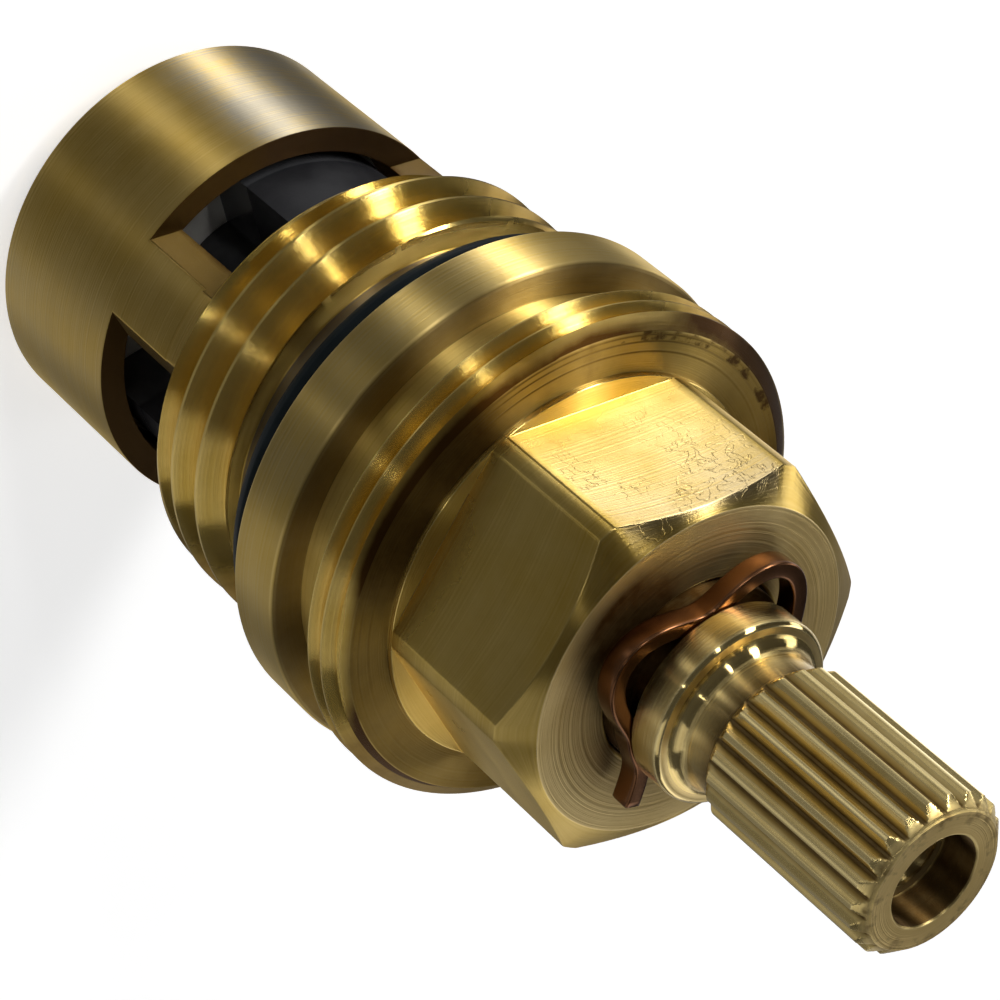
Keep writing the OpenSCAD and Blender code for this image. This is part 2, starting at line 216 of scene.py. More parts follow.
mounts = {mount["name"]: mount["dims"] for mount in frame["record"]["mounts"]}
collar_radius, rim_height, hex_top = span("headwork_body")
cage_radius, neck_radius, relief_radius, groove_radius = 9.3, 9.45, 9.2, 10.3
sill_height, post_step, lintel_height = 9.2, 13.6, 14.3
collar_low, collar_high, front_height = 23.3, 26.1, 30.35
chamber_radius, hub_room, bore_radius = 8.1, 5.9, 4.3
print("body from", rim_height, "to", hex_top, "mm, collar radius", collar_radius, "mm")

# %% [markdown]
# The brass body is turned from bar, then three slots for the water are milled through its cage and
# six flats on its end. A lathe's work is one profile spun round, so the whole body is one grid: the
# profile runs up the outside and down the bore, and closes. The slots need columns that lie on
# their flat end walls at every radius, so the columns are spaced by the slot's own half angle.

# %% Columns of the body
slot_flat = 6.1
slot_directions = np.radians([90, 210, 330])
slot_columns, pillar_columns = 98, 22


def body_angles(radius):
    """Column angles at a radius: evenly over each slot, whose half angle is the arc cosine of flat
    over radius, and evenly over the pillar that is left beside it."""
    half = np.arccos(np.clip(slot_flat / radius, -1, 1))
    over = np.linspace(-1, 1, slot_columns + 1) * half
    beside = np.linspace(-1, 1, pillar_columns + 1)[1:-1] * (math.pi / 3 - half) + math.pi / 3
    return (slot_directions[:, None] + np.concatenate([over, beside])[None]).ravel()


base_angles = body_angles(neck_radius)
bearing = np.mod(np.degrees(base_angles), 360)
columns = base_angles.size
print("body columns:", columns)

# %% [markdown]
# The flats of the hexagon don't meet in points: the bar they are milled on leaves a narrow round
# strip between each two. Three columns go to each strip's edge, so that it stays crisp.

# %% Columns and radius of the hexagon
flat_radius, bar_radius = 8.0, 9.025
edge_blend, edge_spacing = 0.03, math.radians(0.45)
flat_centres = np.radians(30 + 60 * np.arange(6))
strip_edge = math.acos(flat_radius / bar_radius)
edge_angles = np.concatenate([flat_centres - strip_edge, flat_centres + strip_edge])
edge_angles = base_angles[0] + np.mod(edge_angles - base_angles[0], 2 * math.pi)
nearest = np.abs(base_angles[None] - edge_angles[:, None]).argmin(axis=1)
hex_angles = base_angles.copy()
for step in (-1, 0, 1):
    hex_angles[nearest + step] = edge_angles + edge_spacing * step

from_flat = np.mod(hex_angles - flat_centres[0] + math.pi / 6, math.pi / 3) - math.pi / 6
flat_reach = flat_radius / np.cos(from_flat)
hex_radius = 0.5 * (flat_reach + bar_radius - np.hypot(flat_reach - bar_radius, edge_blend))
print("hexagon across flats in mm:", round(2 * hex_radius.min(), 2))

# %% [markdown]
# Both outer threads are right-handed. A thread could be a swept triangle, but then its lead and its
# run-out are hard to close. Here the radius of the surface simply depends on angle and height: the
# height above the helix, counted in pitches, says how far down the flank a point lies. The rows climb
# with the helix, so that crest and root lie on rows of their own and stay crisp.

# %% Thread surface
crest_half, root_from = 0.04, 0.45
half_pitch = np.array([0, crest_half, 0.14, 0.24, 0.34, root_from])
pitch_steps = np.concatenate([[-0.5], -half_pitch[:0:-1], half_pitch])
rows_per_turn = pitch_steps.size
sliver = 0.05


def thread_heights(low, high, pitch, crest_height):
    """Heights of rows that climb one pitch per turn, held between the ends of the thread.

    A row that comes very near an end is put on it, so that no face is a sliver.
    """
    start = (low - crest_height) / pitch - base_angles[0] / (2 * math.pi)
    turns = np.arange(math.floor(start) - 1, math.ceil(start + (high - low) / pitch) + 2)
    steps = (turns[:, None] + pitch_steps).ravel()[:, None]
    heights = crest_height + pitch * (steps + base_angles / (2 * math.pi))
    heights = np.where(heights < low + sliver, low, heights)
    return np.where(heights > high - sliver, high, heights)


def thread_radius(angles, heights, pitch, crest_height, root, crest):
    """Radius of a right-hand thread, and how near its crest each point lies.

    The helix climbs one pitch per turn. A straight flank falls from a narrow crest on the helix to a
    narrow root half a pitch away.
    """
    away = (heights - crest_height) / pitch - angles / (2 * math.pi)
    away = np.abs(away - np.round(away))
    flank = np.clip((root_from - away) / (root_from - crest_half), 0, 1)
    return root + (crest - root) * flank, np.clip((flank - 0.9) / 0.1, 0, 1)


print("rows to each turn of a thread:", rows_per_turn)

# %% [markdown]
# The coarse thread is the pipe thread that screws into the tap. It starts in a cone, so that it
# finds its way, and runs out at the relief under the collar. The fine one carries the shroud.

# %% The two outer threads
pipe_low, pipe_high, pipe_pitch, pipe_on_helix = 14.5, 19.9, 1.814, 15.795
pipe_root, pipe_crest = 9.25, mounts["body_thread"]["r_mm"]
lead_slope, run_out_height = 0.75, 19.75
pipe_heights = thread_heights(pipe_low, pipe_high, pipe_pitch, pipe_on_helix)
pipe_radius, pipe_near = thread_radius(base_angles, pipe_heights, pipe_pitch, pipe_on_helix,
                                       pipe_root, pipe_crest)
lead = neck_radius + (pipe_heights - pipe_low) / lead_slope
run_out = pipe_crest - np.maximum(pipe_heights - run_out_height, 0)
pipe_radius = np.minimum(pipe_radius, np.minimum(lead, run_out))
pipe = np.stack([pipe_radius, pipe_heights], axis=-1)

fine_low, fine_high, fine_pitch, fine_on_helix = 28.15, 30.05, 0.87, 28.122
fine_root, fine_crest, fine_lead = 11.02, mounts["shroud_thread"]["r_mm"], 11.45
fine_heights = thread_heights(fine_low, fine_high, fine_pitch, fine_on_helix)
fine_radius, fine_near = thread_radius(base_angles, fine_heights, fine_pitch, fine_on_helix,
                                       fine_root, fine_crest)
fine_radius = np.minimum(fine_radius, fine_lead + fine_heights - fine_low)
fine = np.stack([fine_radius, fine_heights], axis=-1)
print("pipe thread rows:", len(pipe), "fine thread rows:", len(fine))

# %% [markdown]
# Inside the body there is the disc chamber with two key slots at its mouth, then the room where the
# spindle's lugs run between two stops, then the bore. Keys and stops are only deeper or shallower
# stretches of the same rows.

# %% Inner rows of the body
def within(angles, centre, half):
    """True where an angle lies within half of the centre or of the opposite side, in degrees."""
    away = np.mod(np.degrees(angles) - centre + 90, 180) - 90
    return np.abs(away) <= half


def row(radius, height):
    """One row of the profile, as wide as the body has columns."""
    return np.stack(np.broadcast_arrays(np.zeros(columns) + radius, height), axis=-1)


key_radius, key_top, step_half = 8.62, 6.3, 0.03
track_low, track_top, rows_below_sill = 16.4, 18.8, 3
key_turn, key_half, stop_turn, stop_half = 152, 11.8, 17, 24
mouth_break, bore_break, bore_widening = 0.06, 0.1, 0.12
mouth_radius = np.where(within(base_angles, key_turn, key_half), key_radius, chamber_radius)
stop_here = within(base_angles, stop_turn, stop_half)
stop_radius = np.where(stop_here, hub_room, chamber_radius)
stop_height = np.where(stop_here, track_low, track_top)
chamber_heights = (track_low, lintel_height, post_step + step_half, post_step - step_half,
                   sill_height, key_top + 0.01)
inner_rows = np.stack([
    row(bore_radius, track_top), row(hub_room, track_top), row(stop_radius, stop_height),
    *[row(chamber_radius, height) for height in chamber_heights],
    row(mouth_radius, key_top), row(mouth_radius, rim_height + mouth_break)])
print("inner rows:", len(inner_rows))

# %% [markdown]
# Now the outside gets its rows, from the inlet rim up: the cage, the posts between the slots, the
# pipe thread, the collar with the seal's relief below it and a groove above it, the fine thread, and
# the hexagon with its conical end. The flat front gets rows of its own for the dark rings on it.

# %% Outer rows of the body
rim_break, collar_break = 0.3, 0.15
hex_foot, cone_radius, cone_slope = 30.61, 7.55, math.tan(math.radians(30))
ring_radii = (9.97, 10.42, 10.72)
front_radii = (10.85, 10.72, 10.58, 10.42, 10.25, 9.97, 9.8)
end_radii = (6.6, 5.4)
cone_height = hex_top - (hex_radius - cone_radius) * cone_slope
rim, rim_edge = round_corners(np.stack([
    row(mouth_radius + mouth_break, rim_height), row(cage_radius - rim_break, rim_height),
    row(cage_radius, rim_height + rim_break), row(cage_radius, sill_height)]), 0.08)
posts = np.stack([row(cage_radius, post_step - step_half), row(neck_radius, post_step + step_half),
                  row(neck_radius, lintel_height)])
collar, collar_edge = round_corners(np.stack([
    pipe[-1], row(relief_radius, pipe_high), row(relief_radius, collar_low),
    row(collar_radius - collar_break, collar_low), row(collar_radius, collar_low + collar_break),
    row(collar_radius, collar_high - collar_break), row(collar_radius - collar_break, collar_high),
    row(groove_radius, collar_high), row(groove_radius, fine_low), row(fine_radius[0], fine_low)]), 0.07)
nose, nose_edge = round_corners(np.stack([
    fine[-1], *[row(radius, front_height) for radius in front_radii],
    row(bar_radius, front_height), row(bar_radius, hex_foot), row(hex_radius, hex_foot),
    row(hex_radius, cone_height), row(cone_radius, hex_top),
    *[row(radius, hex_top) for radius in end_radii],
    row(bore_radius + bore_widening, hex_top), row(bore_radius, hex_top - bore_break)]), 0.06)
print("outer rows:", sum(len(rows) for rows in (rim, posts, pipe, collar, fine, nose)) - 2)

# %% [markdown]
# The rows are put in order, and each stretch says how it was cut: 0 is the bright surface of a form
# tool, 1 the satin of a fine feed, and the cage is a little duller still. Where a stretch starts is
# kept, because slots, threads and hexagon have to be found again.

# %% Rows of the body in order
stretches = [(rim, rim_edge, 1.1), (posts, None, 1.1), (pipe, 0.8 * pipe_near, 0.1),
             (collar[1:], collar_edge[1:], 0.65), (fine, 0.8 * fine_near, 0.1),
             (nose[1:], nose_edge[1:], 0.25), (inner_rows, None, 1.0)]


def joined(parts):
    """Rows, edge marks and finish marks of all stretches, one under the other."""
    rows = np.concatenate([part for part, _, _ in parts])
    edges = [np.zeros(part.shape[:2]) if edge is None else edge for part, edge, _ in parts]
    finishes = [np.full(part.shape[:2], finish) for part, _, finish in parts]
    return rows, np.concatenate(edges), np.concatenate(finishes)


body_profile, body_edge, body_satin = joined(stretches)
pipe_start = len(rim) + len(posts)
fine_start = pipe_start + len(pipe) + len(collar) - 1
hex_start = fine_start + len(fine)
sill_outside = len(rim) - 1
lintel_outside = sill_outside + len(posts)
sill_inside = len(body_profile) - 1 - rows_below_sill
lintel_inside = sill_inside - len(posts)
print("body rows:", len(body_profile))

# %% [markdown]
# The finishes later read marks from the points. One is the distance along the profile: a turning
# tool leaves its fine rings across it. In a thread the tool follows the helix, so there the distance
# is counted down the flank. Faces that lie across the axis are always satin from the facing cut.

# %% Marks of the cut on the body
flank_run, facing_finish = 1.3, 0.8


def profile_run(profile):
    """Distance along the profile up to each row, in mm, measured in the first column."""
    steps = np.linalg.norm(np.diff(profile[:, 0], axis=0), axis=1)
    return np.repeat(np.append(0, np.cumsum(steps))[:, None], profile.shape[1], axis=1)


def faced(profile, satin):
    """The finish with every face that lies across the axis made satin, as a facing cut leaves it."""
    step = np.abs(np.gradient(profile, axis=0))
    return np.where(step[..., 0] > 4 * step[..., 1], np.maximum(satin, facing_finish), satin)


body_satin = faced(body_profile, body_satin)
body_run = profile_run(body_profile)
threads = ((pipe_start, pipe_radius, pipe_crest), (fine_start, fine_radius, fine_crest))
for start, radius, crest in threads:
    body_run[start:start + len(radius)] = body_run[start, 0] + flank_run * (crest - radius)
print("length of the profile in mm:", round(body_run.max(), 1))

# %% [markdown]
# The real cartridge isn't new. Its front is stained, the cage has a grey tarnish, and one flat of the
# hexagon is nicked by a spanner. Painted shade darkens the corners and the inside, and a painted
# shadow of the clip lies on the end face under it. Each is a mark of its own, given at a few angles
# round the axis and straight between them.

# %% Stains, wear and painted shade on the body
def fade(value, low, high):
    """0 at low, 1 at high, straight between them and held beyond."""
    return np.clip((value - low) / (high - low), 0, 1)


def between(value, low, high):
    """True where a value lies between two others."""
    return (value > low) & (value < high)


def around(stops, values):
    """A value for every column, straight between the values at some angles in degrees."""
    return np.interp(bearing, stops, values)


close = 0.05
reach, rise = body_profile[..., 0], body_profile[..., 1]
on_front = (np.abs(rise - front_height) < close) * fade(reach, 11.1, 10.9)
on_hexagon = reach > cone_radius + close
on_flats = between(rise, hex_foot + 2 * close, hex_top - 3 * close) & on_hexagon
in_relief = between(rise, pipe_high + close, collar_low - 2 * close)
on_collar = between(rise, collar_low - close, collar_high + close) & (reach > 11)
top_flat = np.abs(hex_angles - math.pi / 2) < 0.45
print("points on the front:", int((on_front > 0).sum()), "and on the flats:", int(on_flats.sum()))

# %% [markdown]
# Dirt lies on the front in broad stains and three fine rings; the stains change with the angle round
# the axis, partly as painted shade. Painted shade darkens the threads at the sides, the front chamfer,
# the corner above the collar, the relief under it and the inside throughout, and a painted shadow of
# the clip lies on the end face under it.

# %% Dirt and painted shade on the body
clip_bearing, clip_half = 132, 27
dark_rings = sum(np.exp(-((reach - radius) / 0.06) ** 2) for radius in ring_radii)
ring_soil = dark_rings * around([50, 75, 115, 200], [0.7, 0.97, 0.97, 0.7])
# Front stains set by angle so the front's brightness follows the light: partly stain, partly painted
# shade.
front_stain_and_shade = around([0, 55, 75, 91, 107, 121, 165, 175, 360],
                    [0.7, 0.45, 0.42, 0.78, 0.42, 0.95, 0.85, 0.6, 0.7])
# Painted shade on the front chamfer, left out at the angles near 180 degrees.
chamfer_shade = around([160, 168, 192, 200], [0.5, 0, 0, 0.5])
# Painted shade on both threads at the sides, left out between 72 and 195 degrees.
thread_shade = around([0, 40, 60, 72, 195, 210, 235, 360], [0.4, 0.75, 0.75, 0, 0, 0.8, 0.8, 0.4])
# Painted shadow and reflection of the clip on the end face under it.
from_clip = np.mod(bearing - clip_bearing + 180, 360) - 180
clip_shadow = 0.45 * fade(reach, 7.0, 5.4) + fade(reach, 7.8, 6.6) * np.exp(-(from_clip / clip_half) ** 2)

# Stains and painted shade on the front; painted shade in the relief under the collar.
body_soil_and_shade = np.maximum(front_stain_and_shade, ring_soil) * on_front + 0.5 * in_relief
# Painted shade in the corner where the collar meets the groove.
body_soil_and_shade += 0.6 * (np.abs(rise - collar_high) < close)
body_soil_and_shade += chamfer_shade * between(rise, fine_high - close, front_height - 0.01) * (reach > 10.8)
body_soil_and_shade += 0.25 * between(rise, 37.2, hex_top - 0.01) * on_hexagon
body_soil_and_shade += (rise > hex_top - close) * np.minimum(clip_shadow, 1)
# Painted shade on the threads at the sides.
for start, radius, _ in threads:
    body_soil_and_shade[start:start + len(radius)] += thread_shade
# Painted shade: the inside of the body is dark throughout.
body_soil_and_shade[-len(inner_rows) - 1:] = 1.0
print("mean dirt on the body:", round(float(body_soil_and_shade.mean()), 2))

# %% [markdown]
# Grime is thicker and ragged, so it gets its own mark near the front's edge. Tarnish greys the metal
# thinly, and the same mark carries painted light: on the cage it is strongest at the angles of the broad
# highlight and dims it as painted shade, it greys the relief under the collar as painted shade, and on
# the collar and the top flat it pales the highlights as a painted sheen.

# %% Grime, tarnish with painted shade and sheen, and nicks on the body
edge_grime = around([0, 25, 60, 90, 160, 360], [0.45, 0.8, 0.8, 0.65, 0.5, 0.45])
body_grime = on_front * fade(reach, 10.2, 10.5) * edge_grime
# Tarnish on the cage by angle, strongest where the broad highlight falls: painted shade over that
# highlight.
cage_tarnish_and_sheen = around([0, 50, 97, 106, 155, 172, 230, 360], [0.6, 1.6, 1.6, 0.15, 0.15, 0.6, 0.6, 0.6])
body_tarnish_and_sheen = cage_tarnish_and_sheen * fade(rise, lintel_height + 0.3, lintel_height)
# Painted shade on the relief under the collar, and a painted pale sheen on the collar and the top flat.
body_tarnish_and_sheen += 1.4 * in_relief + 0.9 * on_flats * top_flat + 0.45 * on_collar
body_nick = on_flats * (0.03 + 0.67 * top_flat)
body_marks = {"edge": body_edge, "satin": body_satin, "run": body_run, "soil_and_shade": body_soil_and_shade,
              "nick": body_nick, "grime": body_grime, "tarnish": body_tarnish_and_sheen}
print("marks on the body:", ", ".join(body_marks))

# %% [markdown]
# Rows of the cage take the slot columns of their own radius, the hexagon takes its strip columns,
# and all others the base columns. Then the faces over each slot come out. A thread's row doesn't
# meet itself after one turn but the row a turn higher, so its last column is joined with that.

# %% Body grid with its slots open
hex_corners = 5
hex_first = hex_start + corner_rows * len(front_radii)
row_angles = np.repeat(base_angles[None], len(body_profile), axis=0)
row_angles[:sill_outside + 2] = body_angles(cage_radius)
row_angles[lintel_inside:sill_inside + 1] = body_angles(chamber_radius)
row_angles[hex_first:hex_first + corner_rows * hex_corners] = hex_angles
body_points = on_axis(body_profile, row_angles).reshape(-1, 3)

quads = grid_quads(len(body_profile), columns, closed_rows=True).reshape(-1, columns, 4)
keep = np.ones(quads.shape[:2], bool)
for start, radius, _ in threads:
    last_row = start + len(radius) - 1
    quads[start:last_row - rows_per_turn, -1, 1:3] += rows_per_turn * columns
    keep[last_row - rows_per_turn:last_row, -1] = False
sector = slot_columns + pillar_columns
over_slot = np.mod(np.arange(columns), sector) < slot_columns
keep[sill_outside:lintel_outside, over_slot] = False
keep[lintel_inside:sill_inside, over_slot] = False
print("faces left out of the grid:", int((~keep).sum()))

# %% [markdown]
# Four strips of faces close each slot by joining the outside to the inside: the sill below, the
# lintel above, and the two flat end walls.

# %% Walls of the slots and the finished body
index = np.arange(len(body_profile) * columns).reshape(len(body_profile), columns)
across = np.flatnonzero(over_slot)
following = np.mod(across + 1, columns)
sill = np.stack([index[sill_outside, across], index[sill_outside, following],
                 index[sill_inside, following], index[sill_inside, across]], axis=-1)
lintel = np.stack([index[lintel_outside, following], index[lintel_outside, across],
                   index[lintel_inside, across], index[lintel_inside, following]], axis=-1)
first = np.arange(0, columns, sector)
last = np.mod(first + slot_columns, columns)
outside = np.arange(sill_outside, lintel_outside)[:, None]
inside = sill_inside - np.arange(len(posts))[:, None]
first_wall = np.stack([index[outside, first], index[inside, first],
                       index[inside - 1, first], index[outside + 1, first]], axis=-1)
last_wall = np.stack([index[outside, last], index[outside + 1, last],
                      index[inside - 1, last], index[inside, last]], axis=-1)
slot_faces = np.concatenate([sill, lintel, first_wall.reshape(-1, 4), last_wall.reshape(-1, 4)])
body_faces = np.concatenate([quads[keep], slot_faces])
brass_body = make_piece("brass_body", body_points, body_faces, "housing", "headwork_body",
                        body_marks, sharp=32)

# %% [markdown]
# The walls of the slots lie in the slot's shade, so they are darkened with painted shade. The walls are
# found by where they lie and which way they face, and they get a mark of their own.

# %% Painted shade on the walls of the slots
def face_values(mesh, name, width):
    """One value or vector for every face of a mesh, as rows of an array."""
    values = np.zeros(len(mesh.polygons) * width)
    mesh.polygons.foreach_get(name, values)
    return values.reshape(-1, width)


body_mesh = brass_body.data
centres, normals = face_values(body_mesh, "center", 3) / MM, face_values(body_mesh, "normal", 3)
out, height = np.hypot(centres[:, 0], centres[:, 1]), centres[:, 2]
at_ends = (np.abs(height - sill_height) < 0.02) | (np.abs(height - lintel_height) < 0.02)
level = (np.abs(normals[:, 2]) > 0.9) & at_ends
facing = normals[:, :2] @ np.stack([np.cos(slot_directions), np.sin(slot_directions)])
upright = (facing.max(axis=1) > 0.9999) & between(out, 7, cage_radius + 0.1)
upright &= between(height, sill_height - 0.2, lintel_height + 0.1)
# Painted shade on the slot walls: the sills darkest, the end walls less.
slot_wall_shade = np.where(level, 0.95, 0.75 * upright).astype(np.float32)
body_mesh.attributes.new("slot_shade", "FLOAT", "FACE").data.foreach_set("value", slot_wall_shade)
print("wall faces:", int((level | upright).sum()))

# %% [markdown]
# The edges of the slots have a small break, as a file leaves it. The Bevel modifier can do that, if
# it is told which edges: those between a wall of the slot and any other face.

# %% Break the edges of the slots
edge_of_loop = np.zeros(len(body_mesh.loops), np.int32)
body_mesh.loops.foreach_get("edge_index", edge_of_loop)
loop_count = face_values(body_mesh, "loop_total", 1)[:, 0].astype(np.int32)
wall_loop = np.repeat((level | upright).astype(np.int32), loop_count)
touches = np.zeros((len(body_mesh.edges), 2), np.int32)
np.add.at(touches, (edge_of_loop, wall_loop), 1)
weights = (touches.min(axis=1) > 0).astype(np.float32)
body_mesh.attributes.new("bevel_weight_edge", "FLOAT", "EDGE").data.foreach_set("value", weights)
slot_break = brass_body.modifiers.new("slot_break", "BEVEL")
slot_break.limit_method = "WEIGHT"
slot_break.width = 0.06 * MM
slot_break.segments = 2
print("slot edges broken:", int(weights.sum()))

# %% [markdown]
# The spindle carries 22 teeth for the handle. Each tooth has its own columns, so that crest, flank
# and gap stay straight along the axis: half a tooth is given by a few angles in degrees with their
# radius, and mirrored.

# %% Columns of the spindle
tooth_count, gap_radius = 22, 3.2
crest_radius = mounts["handle_spline"]["r_mm"]
tooth_pitch = 360 / tooth_count
half_tooth = np.array([0, 1.3, 2.0, 2.35, 2.75, 3.4, 4.9, 6.2, 6.75, 7.2])
half_reach = np.array([crest_radius, crest_radius, 3.63, 3.60, 3.565, 3.52, 3.40, 3.27, 3.225, 3.203])
tooth_angles = np.concatenate([half_tooth, [tooth_pitch / 2], tooth_pitch - half_tooth[:0:-1]])
tooth_reach = np.concatenate([half_reach, [gap_radius], half_reach[:0:-1]])
spindle_angles = np.radians((np.arange(tooth_count)[:, None] * tooth_pitch + tooth_angles[None]).ravel())
tooth_radius = np.tile(tooth_reach, tooth_count)
print("spindle columns:", spindle_angles.size)

# %% [markdown]
# The lower end of the spindle is turned: a flange with two lugs that run between the stops, the
# journal with two grooves for seal rings, the groove for the clip, and the head. A fillet leads
# from the head into the neck, because a sharp corner there would break under the handle.

# %% Shank of the spindle
flange_radius, tongue_low, tip_height = span("spindle")
flange_low, flange_high, lug_high = 14.2, 16.0, 18.4
hub_radius, hub_high, journal_radius = 5.5, 17.95, 4.22
head_high, head_break, cove_start, cove_radius = 41.42, 0.15, 3.9, 0.7
seal_groove, clip_groove, spline_low = 2.88, 3.5, 43.2
lower_ring, upper_ring, clip_seat = (22.8, 24.7), (27.3, 29.2), (38.75, 39.82)
drive_turn, lug_half = 62, 18


def spindle_row(radius, height):
    """One row of the spindle's profile over all tooth columns."""
    return np.stack(np.broadcast_arrays(np.zeros(spindle_angles.size) + radius, height), axis=-1)


def groove(radius, low, high):
    """Four rows of a square groove in the journal."""
    corners = ((journal_radius, low), (radius, low), (radius, high), (journal_radius, high))
    return [spindle_row(*corner) for corner in corners]


lug_height = np.where(within(spindle_angles, drive_turn, lug_half), lug_high, flange_high)
shank, shank_edge = round_corners(np.stack([
    spindle_row(0, flange_low), spindle_row(flange_radius, flange_low),
    spindle_row(flange_radius, lug_height), spindle_row(hub_radius, lug_height),
    spindle_row(hub_radius, hub_high), spindle_row(journal_radius, hub_high),
    *groove(seal_groove, *lower_ring), *groove(seal_groove, *upper_ring),
    *groove(clip_groove, *clip_seat),
    spindle_row(journal_radius, head_high - head_break),
    spindle_row(journal_radius - head_break, head_high), spindle_row(cove_start, head_high)]), 0.1)
turned = np.radians(np.linspace(8, 90, 12))
cove_in = cove_start - cove_radius * np.sin(turned)
cove_up = head_high + cove_radius * (1 - np.cos(turned))
cove = np.stack([*map(spindle_row, cove_in, cove_up), spindle_row(gap_radius, spline_low)])
print("shank and fillet rows:", len(shank) + len(cove))

# %% [markdown]
# The teeth run out in a cone at their lower end and have a small chamfer at the tip, so the rows are
# closest there. The screw thread in the spindle's end is cut like the outer threads, only seen from
# inside, and the hole ends in the cone of a drill.

# %% Spline, tip and screw hole
run_out_low, chamfer_low = 43.25, 52.12
hole_mouth, hole_radius, hole_break, hole_step, row_gap = 2.12, 2.04, 0.08, 51.07, 0.05
screw_top, screw_low, drill_low, drill_tip = 50.9, 46.9, 41.7, 40.9
screw_root, screw_crest, screw_pitch, screw_on_helix = mounts["handle_screw"]["r_mm"], 1.99, 0.7, 50.0
run_heights = np.concatenate([np.linspace(spline_low, 43.78, 10), np.linspace(44.0, 51.9, 24),
                              np.linspace(52.05, tip_height, 10)])[:, None]
run_radius = np.minimum(tooth_radius, np.maximum(gap_radius + run_heights - run_out_low, gap_radius))
run_radius = np.minimum(run_radius, crest_radius - np.maximum(run_heights - chamfer_low, 0))
run = np.stack([run_radius, np.broadcast_to(run_heights, run_radius.shape)], axis=-1)
tip, tip_edge = round_corners(np.stack([
    run[-1], spindle_row(hole_mouth, tip_height), spindle_row(hole_radius, tip_height - hole_break),
    spindle_row(hole_radius, hole_step), spindle_row(screw_crest - 0.01, screw_top + row_gap)]), 0.05)
screw_heights = np.linspace(screw_top, screw_low, 46)[:, None]
screw_radius, _ = thread_radius(spindle_angles, screw_heights, screw_pitch, screw_on_helix,
                                screw_root, screw_crest)
screw = np.stack([screw_radius, np.broadcast_to(screw_heights, screw_radius.shape)], axis=-1)
blind = np.stack([spindle_row(screw_root, screw_low - row_gap), spindle_row(screw_root, drill_low),
                  spindle_row(0, drill_tip)])
print("spline rows:", len(run), "screw rows:", len(screw))

# %% [markdown]
# The spindle's marks are made like the body's: crests and the fillet are bright, the gaps between the
# teeth and the hole are darkened with painted shade, and whatever lies under the head, inside the body,
# is dull and darkened with painted shade. The teeth were rolled along the axis, so the tool's rings are
# left out there by letting the distance hardly grow.

# %% Marks on the spindle
tooth_crest = (tooth_radius > crest_radius - 0.015) & (run_radius[1:] > crest_radius - 0.04)
tooth_gap = fade(run_radius[1:], 3.5, 3.3)
spindle_profile, spindle_edge, spindle_satin = joined([
    (shank, shank_edge, 0.12), (cove, None, 0.0), (run[1:], tooth_crest * 0.8, 0.25 + 0.4 * tooth_gap),
    (tip[1:], tip_edge[1:], 1.0), (screw, None, 0.5), (blind, None, 0.5)])
out, up = spindle_profile[..., 0], spindle_profile[..., 1]
below_head, in_hole = up < 39.8, (out < 2.13) & (up < 52.62)
on_neck = between(up, 41.3, 43.1) & (out > 2.5)
on_teeth = between(up, spline_low, 52.6) & (out > 2.5)

# Painted shade in the gaps between the teeth and in the screw hole.
gap_shade = 0.85 * fade(out, 3.32, 3.22) * fade(up, 42.6, 43.3) * fade(out, 2.3, 2.4)
hole_shade = in_hole * np.where(up < 51.0, 0.35, 0.95)
# Painted shade: below the head, inside the body, the spindle is dark throughout.
spindle_soil_and_shade = gap_shade * fade(up, tip_height, 52.4) + hole_shade + below_head
spindle_satin = np.where(below_head, 1.0, faced(spindle_profile, spindle_satin))
spindle_satin = np.where(on_neck, 0.0, spindle_satin)
spindle_grime = 0.55 * fade(out, 3.5, 3.3) * fade(up, 51.2, 52.2) * (out > 2.5)
spindle_run = profile_run(spindle_profile)
tooth_run = spindle_run[len(shank) + len(cove), 0] + 0.02 * (up - spline_low)
spindle_run = np.where(on_teeth, tooth_run, spindle_run)
print("spindle rows and columns:", spindle_profile.shape[:2])

# %% [markdown]
# The driving tongue under the flange and the clip are both bars with a rounded section that follow
# a flat path, so one function sweeps both. Each end closes in a slightly crowned cap.

# %% Swept bars
def swept_bar(path, width, height, corner, sides=24):
    """A rounded rectangle carried along a flat path.

    The section is a superellipse: cosine and sine of an angle, each to a small power, times half the
    width and half the height. Across the path it lies along the path's normal, and up along +Z.
    """
    turn = np.linspace(0, 2 * math.pi, sides, endpoint=False) + math.pi / sides
    power = corner / min(width, height)
    side = np.sign(np.cos(turn)) * np.abs(np.cos(turn)) ** power * width / 2
    lift = np.sign(np.sin(turn)) * np.abs(np.sin(turn)) ** power * height / 2
    along = np.gradient(path[:, :2], axis=0)
    along /= np.linalg.norm(along, axis=1, keepdims=True)
    normal = np.stack([along[:, 1], -along[:, 0], np.zeros(len(path))], axis=-1)
    upward = np.array([0, 0, 1.0])
    rings = path[:, None] + side[None, :, None] * normal[:, None] + lift[None, :, None] * upward
    crown = 0.12 * min(width, height)
    tip_first = path[0] - np.append(along[0], 0) * crown
    tip_last = path[-1] + np.append(along[-1], 0) * crown
    cap_first = [np.repeat(tip_first[None, None], sides, axis=1), tip_first + 0.8 * (rings[:1] - path[0])]
    cap_last = [tip_last + 0.8 * (rings[-1:] - path[-1]), np.repeat(tip_last[None, None], sides, axis=1)]
    rings = np.concatenate(cap_first + [rings] + cap_last)
    return rings.reshape(-1, 3), grid_quads(len(rings), sides)


